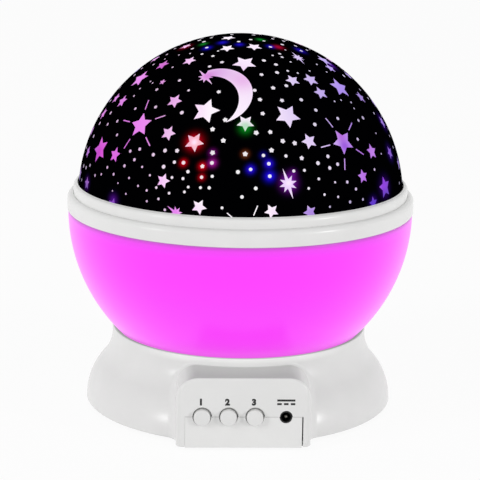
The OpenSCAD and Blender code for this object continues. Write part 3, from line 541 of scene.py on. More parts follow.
# Rays stand close together, in degrees, where they meet the pod's edges and the fillet.
half_round = stepped((0, 15, 0.75), (15, 31, 0.25), (31, 40, 1), (40, 180, 2.5))
rounds = np.concatenate([-half_round[:0:-1], half_round, [180.0]])
top_rise = math.degrees(math.atan((neck_z - foot_z) / neck_r))
rises = stepped((0, 2, 0.35), (2, 11, 0.6), (11, 27, 0.2), (27, top_rise - 0.4, 0.25))
outer = base_rows(rises, rounds, 0)
print("outer rows and columns:", outer.shape[:2])

# %% Close the shell at the foot, over the lip and along the inside
ROUND, BORE_ROUND = 0.4, 0.12
THICKNESS = [18, 26], [1.8, 1.3]  # rises in degrees, and the wall there


def level_row(r, z):
    """One level ring of points at a radius and a height."""
    a = np.radians(rounds)
    return np.stack([r * np.sin(a), -r * np.cos(a), z + 0 * a], axis=-1)[None]


foot_row = outer[:1].copy()
foot_row[..., :2] *= 1 - ROUND / np.linalg.norm(foot_row[..., :2], axis=-1, keepdims=True)
outer[0, :, 2] += ROUND
lip = np.vstack([arc([neck_r - ROUND, neck_z - ROUND], ROUND, 0, 90, 4),
                 arc([neck_bore + BORE_ROUND, neck_z - BORE_ROUND], BORE_ROUND, 90, 180, 3)])
inner_rises = np.linspace(top_rise - 1.6, 0, 34)
inner = base_rows(inner_rises, rounds, np.interp(inner_rises, *THICKNESS)[:, None])
shell = np.concatenate([foot_row, outer] + [level_row(r, z) for r, z in lip] + [inner])
print("base rows and columns:", shell.shape[:2])

# %% [markdown]
# The pod's face is split: the bottom plate carries a tongue that closes its lower half, and the button holes
# lie half in the shell and half in the tongue. The openings are cut from the finished shell, because they are
# square to the face and have nothing to do with its curves.

# %% Cutters and cutting
def cutter(name, points, faces):
    """A temporary solid for cutting."""
    mesh = raw_mesh(name, points, faces)
    finish_mesh(mesh)
    return linked(name, mesh)


def block(low, high):
    """Corners and outward faces of a box."""
    corners = [[x, y, z] for x in (low[0], high[0]) for y in (low[1], high[1]) for z in (low[2], high[2])]
    faces = [[0, 1, 3, 2], [4, 6, 7, 5], [0, 4, 5, 1], [2, 3, 7, 6], [0, 2, 6, 4], [1, 5, 7, 3]]
    return np.array(corners), np.array(faces)


def facing_front(points, x, z):
    """Turns a shape made about Z to face the front, so that its height points out of the pod, at (x, z)."""
    points = np.asarray(points)
    return np.stack([points[:, 0] + x, -points[:, 2], points[:, 1] + z], axis=-1)


def cut_away(piece, cutters):
    """Subtracts each cutter in turn, keeps the result as the piece's mesh and removes the cutters."""
    for solid in cutters:
        step = piece.modifiers.new(solid.name, "BOOLEAN")
        step.operation, step.solver, step.object = "DIFFERENCE", "MANIFOLD", solid
    bpy.context.view_layer.update()
    evaluated = piece.evaluated_get(bpy.context.evaluated_depsgraph_get())
    result = bpy.data.meshes.new_from_object(evaluated)
    piece.modifiers.clear()
    piece.data = result
    for solid in cutters:
        bpy.data.objects.remove(solid)


# %% Cut the openings and finish the shell
TONGUE_HALF, TONGUE_GAP, SEAM, SLOT_W = 20.8, 0.05, 0.12, 0.45
BUTTON_HOLE_R, JACK_HOLE_R = 3.45, 2.25
HOLE_SHIFT_X, HOLE_SHIFT_Z = 0.1, 0.14  # the holes lie a little off the caps, as their dark gaps show
AROUND_HOLE = 96

cutters = [cutter("tongue_opening", *block([-TONGUE_HALF - TONGUE_GAP, face_y - 2, -2],
                                           [TONGUE_HALF + SLOT_W, face_y + 4, button_z + SEAM]))]
for i, (x, r) in enumerate([(x, BUTTON_HOLE_R) for x in button_x] + [(jack_x, JACK_HOLE_R)]):
    profile = [[0, -face_y - 6], [r, -face_y - 6], [r, -face_y + 2], [0, -face_y + 2]]
    points = facing_front(turn(profile, AROUND_HOLE), x + HOLE_SHIFT_X, button_z + HOLE_SHIFT_Z)
    cutters.append(cutter(f"hole_{i}", points, grid_faces(len(profile), AROUND_HOLE, wrap_columns=True)))

mesh = raw_mesh("base_housing", shell.reshape(-1, 3), grid_faces(*shell.shape[:2], True, True))
finish_mesh(mesh)
housing = linked("base_housing", mesh)
cut_away(housing, cutters)
shade(housing.data, 32)
dress(housing, "base", base_abs_with_painted_light, ["base_shell"])

# %% [markdown]
# ## The deck inside the base
#
# Under the bowl a deck closes the base and carries the bearing spigot that the bowl turns on. Both are plain
# turned forms, so one profile carried round the axis gives them.

# %% Deck and spigot
DECK_LOW, DECK_TOP, DECK_LOW_R, DECK_TOP_R = 15.6, 17.4, 51.5, 50.2
SPIGOT_R, SPIGOT_BORE, SPIGOT_RISE = 10.0, 6.2, 2  # the spigot ends this far over the lamp post's foot
SPIGOT_FOOT, SPIGOT_EDGE = 0.4, 0.3

hub_top = span("led_post")[0][2] + SPIGOT_RISE
deck_profile = [[SPIGOT_BORE, DECK_LOW], [DECK_LOW_R, DECK_LOW], [DECK_TOP_R, DECK_TOP],
                [SPIGOT_R + SPIGOT_FOOT, DECK_TOP], [SPIGOT_R, DECK_TOP + SPIGOT_FOOT],
                [SPIGOT_R, hub_top - SPIGOT_EDGE], [SPIGOT_R - SPIGOT_EDGE, hub_top], [SPIGOT_BORE, hub_top]]
turned_piece("deck_and_spigot", deck_profile, 128, "base", white_inner)

# %% [markdown]
# ## The bottom plate and its tongue
#
# These are flat mouldings with crisp but not sharp edges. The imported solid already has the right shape, so a
# copy is merged and its edges get a small bevel that catches the light.

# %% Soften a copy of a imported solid
# Faces within FLAT_DEG of each other become one, and edges sharper than BEVEL_DEG get the bevel.
MERGE_COPY_M, FLAT_DEG, BEVEL_DEG = 2e-6, 1.5, 40


def softened(node, name, body, material, width_mm):
    """A merged copy of a node's mesh whose hard edges get a round of the given width."""
    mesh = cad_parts[node].data.copy()
    mesh.name = name
    work = bmesh.new()
    work.from_mesh(mesh)
    bmesh.ops.remove_doubles(work, verts=work.verts, dist=MERGE_COPY_M)
    bmesh.ops.dissolve_limit(work, angle_limit=math.radians(FLAT_DEG), verts=work.verts, edges=work.edges)
    work.to_mesh(mesh)
    work.free()
    if mesh.attributes.get("custom_normal"):
        mesh.attributes.remove(mesh.attributes["custom_normal"])
    shade(mesh)
    piece = linked(name, mesh)
    bevel = piece.modifiers.new("edge round", "BEVEL")
    bevel.width, bevel.segments, bevel.limit_method = width_mm * MM, 3, "ANGLE"
    bevel.angle_limit, bevel.harden_normals = math.radians(BEVEL_DEG), False
    dress(piece, body, material, [node])


softened("base_plate", "bottom_plate", "base", white_abs, 0.12)
softened("battery_door", "battery_hatch", "door", white_abs, 0.2)

# %% [markdown]
# ## Buttons
#
# Each button is a turned cap with a slightly domed face and a rounded rim, standing on a flange that keeps it
# behind the pod's face. It faces the front, so the turned shape is laid over.

# %% Three turned caps
CAP_R, CAP_RIM, CAP_CROWN, FLANGE_W, FLANGE_T = 2.95, 0.55, 0.15, 1.3, 0.8
AROUND_CAP = 96


def button_profile(reach, back):
    """Flange, straight side, rounded rim, and a face that rises as 1 - t^2 from the rim to its middle."""
    t = np.linspace(1, 0, 7)[:, None]
    face = np.hstack([(CAP_R - CAP_RIM) * t, reach - CAP_CROWN * t ** 2])
    flange = [[0, back], [CAP_R + FLANGE_W, back], [CAP_R + FLANGE_W, back + FLANGE_T],
              [CAP_R, back + FLANGE_T]]
    rim = arc([CAP_R - CAP_RIM, reach - CAP_CROWN - CAP_RIM], CAP_RIM, 0, 90, 7)
    return np.vstack([flange, rim, face[1:]])


keys = zip(("first_key_cap", "second_key_cap", "third_key_cap"),
           ("light_button", "colour_button", "spin_button"), ("light_key", "colour_key", "spin_key"),
           button_span, button_x)
for name, node, body, (low, high), x in keys:
    profile = button_profile(-low[1], -high[1])
    points = facing_front(turn(profile, AROUND_CAP), x, button_z)
    faces = grid_faces(len(profile), AROUND_CAP, wrap_columns=True)
    make_piece(name, points, faces, body, button_abs, [node])

# %% [markdown]
# ## Numerals and the power sign
#
# The keys are numbered and the jack carries the usual sign for direct current, a bar over three dashes. They
# are printed in black ink, so each is a very thin raised shape. The numerals come from Blender's own text
# tool, turned into a mesh before they get their place.

# %% Printed marks
ink = moulded("black_print_ink", "#080808", "#050505", rough=0.5, grain_mm=0.3, skin_mm=0.002)
MARK_Z, MARK_H, MARK_SHIFT = button_z + 5.6, 2.55, -0.4
TYPE_SIZE, TYPE_WEIGHT, TYPE_DEPTH = 3.0, 0.2, 0.02  # weight is how far the outline grows
INK_OUT, INK_IN = 0.01, 0.04  # how far the ink stands out of the face and reaches into it


def numeral(text, x):
    """A heavy numeral of the given height, its mesh laid on the pod's face."""
    curve = bpy.data.curves.new("numeral", "FONT")
    curve.body, curve.align_x, curve.align_y = text, "CENTER", "CENTER"
    curve.size, curve.offset, curve.extrude = TYPE_SIZE, TYPE_WEIGHT, TYPE_DEPTH
    source = linked("numeral", curve)
    bpy.context.view_layer.update()
    mesh = bpy.data.meshes.new_from_object(source.evaluated_get(bpy.context.evaluated_depsgraph_get()))
    bpy.data.objects.remove(source)
    points = np.empty(len(mesh.vertices) * 3)
    mesh.vertices.foreach_get("co", points)
    points = points.reshape(-1, 3)
    points -= (points.min(0) + points.max(0)) / 2
    points *= MARK_H / np.ptp(points[:, 1])
    points[:, 2] = np.where(points[:, 2] > 0, INK_OUT, -INK_IN) - face_y
    mesh.vertices.foreach_set("co", (facing_front(points, x, MARK_Z) * MM).ravel())
    mesh.update()
    return mesh


for text, name, x in zip("123", ("numeral_one", "numeral_two", "numeral_three"), button_x):
    dress(linked(name, numeral(text, x + MARK_SHIFT)), "base", ink)

BAR_HALF, BAR_LOW, BAR_TOP, DASH, DASH_STEP = 3.2, 0.3, 1.05, 1.6, 2.4
bars = [[-BAR_HALF, BAR_LOW, BAR_HALF, BAR_TOP]]
bars += [[left, -BAR_TOP, left + DASH, -BAR_LOW] for left in -BAR_HALF + DASH_STEP * np.arange(3)]
sign = [block([jack_x + x0, face_y - INK_OUT, MARK_Z + z0], [jack_x + x1, face_y + INK_IN, MARK_Z + z1])
        for x0, z0, x1, z1 in bars]
make_piece("direct_current_sign", np.vstack([points for points, _ in sign]),
           np.vstack([faces + 8 * i for i, (_, faces) in enumerate(sign)]), "base", ink)

# %% [markdown]
# ## Bowl, ring and the lid's rim
#
# All three are turned on the same axis, so each is one closed profile: outside up, over the top and down the
# inside. The bowl ends in a small step under the ring, where painted shade in its glow draws the dark line.
# The ring has two tiers: the lower band stands upright and rounds over in a soft shoulder, and the lid's band
# above it is set in from the shoulder, with a dark groove between them and a small bead where it meets the
# dome.

# %% Turn the bowl
BOWL_WALL, FLOOR_T, HUB_R = 1.7, 1.8, 12.5
STEP_IN, STEP_UP = 0.4, 0.3  # the bowl's edge steps in under the ring, and reaches up into it
BOWL_EDGE = [[-0.02, 0.12], [-0.35, 0.2]]  # its round: radius and height from the widest line


def across(z, r, centre_z):
    """Radius of a sphere at a height: the root of r^2 - (z - centre)^2."""
    return math.sqrt(r ** 2 - (z - centre_z) ** 2)


in_r, floor_top = bowl_r - BOWL_WALL, floor_z + FLOOR_T
low_angle = math.degrees(math.asin((floor_z - bowl_z) / bowl_r))
in_low_angle = math.degrees(math.asin((floor_top - bowl_z) / in_r))
bowl_profile = np.vstack([
    [[HUB_R, floor_z]], arc([0, bowl_z], bowl_r, low_angle, 0, 64), np.add(BOWL_EDGE, [bowl_r, bowl_z]),
    [[bowl_r - STEP_IN, ring_z + STEP_UP], [in_r, ring_z + STEP_UP]],
    arc([0, bowl_z], in_r, 0, in_low_angle, 48), [[HUB_R, floor_top]]])
turned_piece("pink_bowl_shell", bowl_profile, 256, "sphere", pink_bowl, ["bowl"])

# %% Turn the ring and the rim
RING_WALL, RING_EDGE, GROOVE_LOW, GROOVE_TOP, GROOVE_DEEP = 2.1, 0.45, 0.6, 0.5, 0.1
BAND_IN, BAND_BEAD, SHOULDER_DROP, SHOULDER_H = 1.6, 1.5, 2.3, 1.9
LIP_GAP, LIP_BEAD, LIP_SINK = 0.25, 0.3, 1.1  # the small bead that lies against the dome

ring_in, wall_r = ring_r - RING_WALL, lid_r - BAND_IN
shoulder_r = wall_r + GROOVE_DEEP
shoulder = arc([0, 0], 1, 0, 90, 10) * [ring_r - shoulder_r, SHOULDER_H]
shoulder += [shoulder_r, ring_top - SHOULDER_DROP]
ring_profile = np.vstack([
    [[ring_in, ring_z]], arc([ring_r - RING_EDGE, ring_z + RING_EDGE], RING_EDGE, -90, 0, 6), shoulder,
    [[shoulder_r, ring_top - GROOVE_LOW], [ring_in, ring_top - GROOVE_LOW]]])
turned_piece("lower_ring", ring_profile, 256, "sphere", white_abs, ["bowl_ring"])

rim_in, groove_z = lid_r - RING_WALL, ring_top - GROOVE_TOP
lip_r = across(lid_top, dome_r, dome_z) + LIP_GAP
rim_profile = np.vstack([
    [[rim_in, groove_z], [wall_r, groove_z]],
    arc([wall_r - BAND_BEAD, lid_top - 0.2 - BAND_BEAD], BAND_BEAD, 0, 80, 12),
    arc([lip_r + LIP_BEAD, lid_top - LIP_BEAD], LIP_BEAD, 30, 180, 8),
    [[lip_r, lid_top - LIP_SINK], [rim_in, lid_top - LIP_SINK]]])
turned_piece("lid_rim", rim_profile, 256, "star_lid", white_abs, ["lid_ring"])

# %% [markdown]
# ## The dome and its windows
#
# The mask is a cap of a sphere with a thin wall. Every window is a patch of the same sphere: a flat outline
# is filled with a grid from its centre out, and each point is lifted along the window's own axis until it
# lies on the sphere, so that stars high on the dome look foreshortened just as moulded ones do. The stars with
# rays, the plain stars, the twinkles and the crescent stand where they do in the source of the part, but for
# three at the rim, which lie about a degree lower. The small windows have places of their own here. Past
# the sides and over the top a seeded random spread goes on with both, clear of what is there.

# %% The places of the windows
# Rows of [round, up, radius, turn] in degrees and millimetres.
SUNS = [[-46.4, 33, 4.8, 14], [39.9, 28.2, 4.8, 21], [0.3, 1.1, 4.3, -22]]
STARS = [[-44.4, 62.3, 2.7, 3], [-64.5, 57.6, 2.9, 17], [-71.1, 49.2, 4.3, 18], [-49.3, 50.5, 1.4, 10],
    [-68.7, 39.2, 2.8, 16], [-34.6, 43.6, 3, -11], [-65.7, 21.1, 5, 27], [-54.3, 21.1, 2.9, 0],
    [-31.6, 31.6, 2.9, -14], [-20, 29.4, 3.6, -23], [-29.5, 15.6, 2.7, -14], [-70.3, 8.2, 2.4, 8],
    [-15.8, 8.2, 2.8, -26], [-20, 72.7, 2.8, -19], [12.6, 74.3, 3, 22], [-0.6, 63.1, 4.5, 31],
    [-17.9, 40.9, 5.1, -10], [27.6, 53.6, 2.8, 13], [17.8, 39.3, 4.8, 36], [-0.5, 36.9, 3.2, 34],
    [8.2, 7.3, 2.6, 28], [68.6, 56.1, 2.5, -26], [40.3, 47, 2.9, 0], [39.9, 53.1, 3.1, 3],
    [57, 47.7, 4.6, -17], [69.9, 41.7, 2.7, -25], [24.5, 29.7, 3, 17], [54.3, 22.9, 3, -4],
    [69.4, 20, 2.6, 12], [45.4, 15.6, 2.6, 2], [57.8, 9.9, 4.1, 6], [-78.6, 39, 2.4, 21],
    [-81.3, 32, 2.6, 34], [21.5, 6.3, 2.6, 20], [49.4, 5.9, 2.4, 5], [-50.4, 4.6, 2.6, -10],
    [-43.2, 82.4, 2.8, 10], [75.9, 59.8, 3.4, -20], [77.3, 30.1, 2.6, 10]]
TWINKLES = [[-23.9, 55.1, 4.9, 48], [48.2, 64.6, 4.2, -12], [14.2, 16, 5.6, 16], [-23.7, 5.5, 4.2, 57]]
MOONS = [[-14.5, 48, 12.5, 0]]
WAIST = 0.5  # share of a star's radius at its inner corners
# Small windows as rows of [round, up, radius].
DOTS = [[-27.8, 6.2, 0.58], [29.1, 7.4, 0.48], [-51.3, 9.2, 0.42], [-44.4, 9.3, 0.51], [-35, 8.2, 0.52],
    [-30.5, 9.5, 0.56], [-8.1, 8.3, 0.59], [32.7, 10.3, 0.53], [37.7, 8, 0.7], [43.9, 8, 0.64],
    [-64.1, 12.2, 0.74], [-59.7, 13.4, 0.64], [-49, 12.2, 0.45], [-39.4, 12.7, 0.52], [-35.5, 11.7, 0.55],
    [-31.8, 13.1, 0.59], [-26.7, 11.8, 0.58], [-21.2, 12.7, 0.58], [-1.6, 12, 0.71], [27.3, 11.6, 0.55],
    [41, 11.9, 0.71], [-70.6, 14.5, 0.81], [-56.8, 16.3, 0.74], [-52.2, 14.7, 0.73], [-44, 14.7, 0.55],
    [-20, 14.4, 0.57], [-15.7, 14.5, 0.61], [-12.7, 14.6, 0.68], [3, 14.8, 0.75], [21.5, 14.1, 0.56],
    [32.1, 15.2, 0.5], [37.4, 14.7, 0.7], [-47.5, 18.3, 0.8], [-39.1, 19.1, 0.53], [-35.1, 16.8, 0.51],
    [-26.3, 17, 0.6], [-22.2, 17, 0.63], [-20.7, 19.4, 0.71], [-15.6, 17.9, 0.7], [-11.9, 18.4, 0.66],
    [7.9, 18.7, 0.75], [25.7, 16.9, 0.6], [52.9, 16.8, 0.68], [-43.4, 21, 0.77], [-30.2, 20.2, 0.86],
    [-26.3, 22.1, 0.72], [-22.8, 22.2, 0.8], [-15.7, 21.5, 0.85], [-3.1, 20.1, 0.8], [1.3, 21, 0.7],
    [16.6, 20.1, 0.65], [20.6, 20.1, 0.62], [26.3, 22.1, 0.84], [30.8, 20.1, 0.8], [34.5, 21, 0.78],
    [60.7, 21.1, 0.5], [-46.6, 23.5, 0.79], [-42.3, 24.8, 0.8], [-35.5, 23.7, 0.81], [-12.4, 22.8, 0.79],
    [7.8, 22.8, 0.75], [14.3, 25.2, 0.68], [20.2, 24.2, 0.89], [31, 24, 0.8], [-57.6, 27.7, 0.79],
    [-31, 25.6, 0.87], [-26.1, 26, 0.9], [-12.5, 26.2, 0.99], [-0.6, 26.1, 1], [6, 25.6, 0.7],
    [9.1, 27.3, 0.97], [48.3, 28.1, 0.8], [-78.4, 28.6, 1], [-68.7, 29.9, 0.85], [-8.9, 30.5, 0.98],
    [13.8, 30.3, 0.96], [18.4, 29.4, 0.95], [-62.1, 32.2, 0.87], [-13.6, 34.3, 0.97], [3.7, 33.4, 1],
    [9.3, 33.6, 0.89], [54.2, 34.3, 0.78], [29.1, 35.4, 0.84], [42, 36.5, 0.81], [58.6, 34.7, 0.99],
    [-54.6, 38.2, 0.78], [-43.1, 40.3, 0.82], [-28.6, 39.5, 0.86], [-8.9, 37.9, 0.95], [7, 40.4, 0.88],
    [-62, 42.5, 0.6], [32.3, 40.6, 0.82], [56.8, 41.1, 0.48], [6.5, 45.9, 0.91], [17.1, 45.3, 0.88],
    [27, 45.1, 0.82], [-49.1, 47, 0.83], [-29.9, 48.5, 0.59], [-13.8, 48.8, 0.86], [-38.8, 52.3, 0.79],
    [4.4, 49.8, 0.8], [14.4, 50.7, 0.93], [22.2, 51.4, 0.8], [-52.5, 57.7, 0.59], [9.8, 57, 0.85],
    [20.3, 57.8, 0.84], [28.3, 58.3, 0.59], [-24.9, 60.5, 0.75], [58.4, 59.4, 0.58], [-17.5, 63.3, 0.85],
    [22.7, 62, 0.82], [-40.1, 67.1, 0.69], [15, 64.6, 0.84], [33, 66, 0.68], [34.2, 68.2, 0.7],
    [-52.9, 66.3, 0.5], [-62.6, 64.2, 0.5], [-71.7, 60.3, 0.5], [-58.7, 49.6, 0.5], [-55.9, 49.2, 0.5],
    [-62, 45.8, 0.5], [-27.4, 70.2, 0.5], [25.6, 67.5, 0.5], [36.3, 62.8, 0.5], [34.3, 56.8, 0.5],
    [44.8, 57.1, 0.5], [59.1, 55.1, 0.5], [45.7, 42.9, 0.5], [50.6, 42.9, 0.5], [56.1, 38.8, 0.5],
    [57.1, 41.3, 0.45], [62.9, 28.2, 0.5], [46.7, 70.2, 0.5]]
FIVE_POINTED_R = 0.74  # larger ones have five short points
SIDE_SHRINK = [0.4, 0.8], [0.88, 0.72]  # sines of the way round, and the share of the radius kept there
DOT_TURN = 37  # degrees from one to the next

# %% Spread them over the dome
def both_sides(rows):
    """The rows, and the same rows half a turn further."""
    rows = np.array(rows, float)
    return np.vstack([rows, rows + [180, 0, 0, 0]])


def direction(round_deg, up_deg):
    """Unit vector of a place on the dome: (cos up sin round, -cos up cos round, sin up)."""
    a, e = np.radians(round_deg), np.radians(up_deg)
    return np.stack([np.cos(e) * np.sin(a), -np.cos(e) * np.cos(a), np.sin(e)], axis=-1)


def ways_from_middle(points):
    """Unit vectors from the dome's middle to the points."""
    out = points - [0, 0, dome_z]
    return out / np.linalg.norm(out, axis=1, keepdims=True)


# %% Scatter more windows over the sides and the top
SEED, SIDE_FROM, TOP_FROM, LOWEST, HIGHEST, MOST_TURN = 11, 72, 62, 6, 88, 30  # the last five in degrees
SUN_REACH, TWINKLE_REACH = 2.15, 0.9  # shares of the radius that a window keeps clear

chance = np.random.default_rng(SEED)
taken_ways, taken_reaches = [], []


def take(round_deg, up_deg, reach):
    """Notes a place and its twin half a turn on as taken."""
    taken_ways.extend(direction(round_deg + turned, up_deg) for turned in (0, 180))
    taken_reaches.extend([reach, reach])


def scatter(count, radii, gap, digits, turned=False):
    """Rows of [round, up, radius], and a turn where asked for, that keep a gap to all taken places."""
    rows = []
    while len(rows) < count:
        height = chance.uniform(np.sin(np.radians(LOWEST)), np.sin(np.radians(HIGHEST)))
        round_deg, up_deg = chance.uniform(-90, 90), np.degrees(np.arcsin(height))
        if abs(round_deg) < SIDE_FROM and up_deg < TOP_FROM:
            continue
        radius = round(float(chance.uniform(*radii)), digits)
        others = np.array(taken_ways + [direction(round_deg + 180, up_deg)])
        apart = dome_r * np.arccos(np.clip(others @ direction(round_deg, up_deg), -1, 1))
        if np.any(apart < np.array(taken_reaches + [radius]) + radius + gap):
            continue
        take(round_deg, up_deg, radius)
        rows.append([round(float(round_deg), 1), round(float(up_deg), 1), radius])
        if turned:
            rows[-1].append(round(float(chance.uniform(-MOST_TURN, MOST_TURN))))
    return rows


for rows, share in ((SUNS, SUN_REACH), (STARS, 1), (TWINKLES, TWINKLE_REACH), (MOONS, 1), (DOTS, 1)):
    for round_deg, up_deg, size, *_ in rows:
        take(round_deg, up_deg, share * size)
side_stars = scatter(9, (2.3, 3.4), 3.2, 1, turned=True)
side_dots = scatter(46, (0.7, 1.0), 2.2, 2)
print("stars and small windows scattered:", len(side_stars), len(side_dots))

# %% Shrink the small windows toward the sides
dot_rows = np.array(DOTS + side_dots)
dot_rows = both_sides(np.hstack([dot_rows, np.zeros((len(dot_rows), 1))]))
dot_rows[:, 3] = DOT_TURN * np.arange(len(dot_rows)) % 72
dot_rows[:, 2] *= np.interp(np.abs(np.sin(np.radians(dot_rows[:, 0]))), *SIDE_SHRINK)
five_pointed = dot_rows[:, 2] > FIVE_POINTED_R
print("small windows:", len(dot_rows), "of which five-pointed:", int(five_pointed.sum()))

# %% [markdown]
# ### What colour the lamps throw
#
# The lamp inside is pinkish white. Toward its sides the light takes on the pink of the bowl on the left and
# the violet of the blue lamp on the right. How it does so changes with the height, so there are three sweeps
# from left to right: one at the rim, one above it and one for the upper half, each blended into the next.
# Near the coloured lamps' own axes small round spots of red, green and blue show, and a few wider places are
# tinted a little.

# %% Sweeps, spots and tints
# Rows of (place from the left at -1 to the right at 1, colour).
RIM_SWEEP = [(-1.0, "#3a1a80"), (-0.9, "#6a2ca4"), (-0.72, "#8a40c0"), (-0.6, "#c060d0"), (-0.4, "#e684ee"),
    (-0.27, "#f6e0f6"), (0.0, "#ffffff"), (0.14, "#fbe8fa"), (0.3, "#b894e4"), (0.5, "#8a60d0"),
    (0.75, "#5a28c8"), (1.0, "#3a1a80")]
LOW_SWEEP = [(-1.0, "#6a2f9e"), (-0.9, "#b04ccc"), (-0.84, "#e05ce0"), (-0.74, "#d964e0"),
    (-0.58, "#ee83f2"), (-0.45, "#f6d3f6"), (-0.3, "#fcf0fa"), (0.05, "#fefafe"), (0.25, "#f6e6fb"),
    (0.45, "#e6cdf8"), (0.58, "#cd98f5"), (0.7, "#b468e2"), (0.76, "#c078e6"), (0.82, "#8a22de"),
    (0.9, "#6426b4"), (1.0, "#4a2090")]
HIGH_SWEEP = [(-1.0, "#9a48a8"), (-0.61, "#e585eb"), (-0.48, "#da91d9"), (-0.35, "#f1bbf1"),
    (-0.2, "#fdf4fd"), (-0.04, "#f8e9fb"), (0.15, "#f3e2fa"), (0.29, "#d6c4f1"), (0.45, "#bca5e8"),
    (0.57, "#a584ea"), (0.7, "#8c71c6"), (1.0, "#5c3f9c")]
SWEEP_CLIMBS = (0.12, 0.06), (0.35, 0.35)  # height share where the next sweep starts, and its climb
# Rows of (round, up, colour, width, strength) in degrees.
# On the black mask the light of these spots is a painted glow.
SPOTS = [(-20, 29.4, "#f00024", 2.2, 1.0), (-22.8, 22.2, "#e8001e", 1.05, 0.9),
    (-15.7, 21.5, "#e8001e", 1.1, 1.0), (-15.6, 17.9, "#e00020", 0.9, 0.8),
    (-12.5, 26.2, "#a010a0", 1.1, 0.5), (-12.2, 22.8, "#c020b0", 1.2, 0.8), (1.3, 21, "#2a12f0", 1.2, 1.0),
    (7.8, 22.8, "#2a12f0", 1.25, 1.0), (7.9, 18.7, "#2010f0", 1.5, 1.0), (6, 25.6, "#2010c0", 1.1, 0.4),
    (14.4, 16.3, "#b424f0", 2.2, 0.6), (16.2, 19.4, "#9020c0", 1.2, 0.3),
    (-0.5, 35.1, "#10c030", 1.8, 0.42), (-0.6, 26.1, "#c06030", 1.1, 0.35),
    (-70.3, 8.2, "#6a18b0", 1.8, 0.4), (-50.4, 6.1, "#7020c0", 1.8, 0.4), (57.8, 9.9, "#6010c0", 2.8, 0.3),
    (69.4, 20, "#4818a8", 2.2, 0.4), (77.3, 30.1, "#5018b0", 2.2, 0.5), (49.4, 5.9, "#5010c0", 1.8, 0.4),
    (-75.2, 69, "#d01040", 1.6, 0.5), (44.3, 72.8, "#d01040", 1.5, 0.6), (-58.8, 73.7, "#20c040", 1.2, 0.4),
    (39.8, 80.8, "#20c040", 1.3, 0.4), (-43.5, 71.5, "#2818f0", 1.3, 0.7),
    (-34.9, 77.2, "#2818f0", 1.4, 0.6), (66, 68, "#3018e0", 1.6, 0.6), (-6.6, 76.3, "#2818f0", 1.2, 0.6),
    (34.5, 73.8, "#2818f0", 1.2, 0.6), (76.4, 57.2, "#7020d0", 1.8, 0.5)]
# Rows of (round, up, colour, width) where the light in the windows is a little more coloured.
TINTS = [(-17, 58, "#e2bcea", 6), (-23, 55.5, "#ecaaea", 3), (-1.6, 54.4, "#f2cdf0", 5),
    (39.9, 26.5, "#c894ea", 2.4), (39.9, 30.5, "#f0b0ea", 2.4), (-0.5, 35.4, "#b8f0c4", 1.8),
    (-66, 20, "#e878e4", 4), (-63, 57, "#ea90ea", 6)]
RIM_TINT = 1.6  # how strongly a spot colours the light round its edge

# %% Blend the light
def fades(ways, round_deg, up_deg, width):
    """At a place and at its twin half a turn on: exp(-(d / width)^2), where d is the angle to the place."""
    for turned in (0, 180):
        centre = direction(round_deg + turned, up_deg)
        away = np.degrees(np.arccos(np.clip(ways @ centre, -1, 1)))[:, None]
        yield np.exp(-(away / width) ** 2)


def lamp_light(ways):
    """Linear colours at unit vectors: the tinted sweep over x, and what the spots spill."""
    front = np.where(ways[:, 1] > 0, -ways[:, 0], ways[:, 0])
    sweeps = []
    for stops in (RIM_SWEEP, LOW_SWEEP, HIGH_SWEEP):
        places, colours = [place for place, _ in stops], np.array([linear(colour)[:3] for _, colour in stops])
        sweeps.append(np.stack([np.interp(front, places, colours[:, i]) for i in range(3)], axis=-1))
    sweep = sweeps[0]
    for (start, height), above in zip(SWEEP_CLIMBS, sweeps[1:]):
        climb = np.clip((ways[:, 2:] - start) / height, 0, 1)
        sweep = sweep * (1 - climb) + above * climb
    spill, tint = np.zeros_like(sweep), np.ones_like(sweep)
    for round_deg, up_deg, colour, width, strength in SPOTS:
        hue = np.array(linear(colour)[:3])
        for fade in fades(ways, round_deg, up_deg, width):
            spill += strength * fade * hue
            tint *= 1 - RIM_TINT * strength * fade * (1 - fade) * (1 - hue)
    for round_deg, up_deg, colour, width in TINTS:
        for fade in fades(ways, round_deg, up_deg, width):
            tint *= 1 - fade * (1 - np.array(linear(colour)[:3]))
    return sweep * tint, spill


# %% The black cap
MASK_T, CAP_STEPS, AROUND_DOME = 0.8, 140, 480

cap_angle = math.degrees(math.asin((mask_low[2] - dome_z) / dome_r))
cap_profile = np.vstack([arc([0, dome_z], dome_r, cap_angle, 90, CAP_STEPS),
                         arc([0, dome_z], dome_r - MASK_T, 90, cap_angle + 0.1, 16)])
cap_profile[[CAP_STEPS - 1, CAP_STEPS], 0] = 0
cap_points = turn(cap_profile, AROUND_DOME)
# The mask itself glows with the spots' light: a painted glow on black plastic.
_, spill = lamp_light(ways_from_middle(cap_points))
make_piece("star_dome_mask", cap_points, grid_faces(len(cap_profile), AROUND_DOME, True, True), "star_lid",
           black_mask, ["star_mask"], colours=spill)

# %% Outlines of the windows, each with its centre at the origin
def edge_points(corners, cuts):
    """Walks round a closed outline, cutting each edge into equal steps."""
    corners = np.asarray(corners, float)
    t = np.arange(cuts)[:, None] / cuts
    return np.vstack([a + (b - a) * t for a, b in zip(corners, np.roll(corners, -1, axis=0))])


def spoked(radii):
    """Corners at the given radii, evenly round from the top."""
    a = np.radians(90.0 + 360 * np.arange(len(radii)) / len(radii))
    return np.stack([np.array(radii) * np.cos(a), np.array(radii) * np.sin(a)], axis=-1)


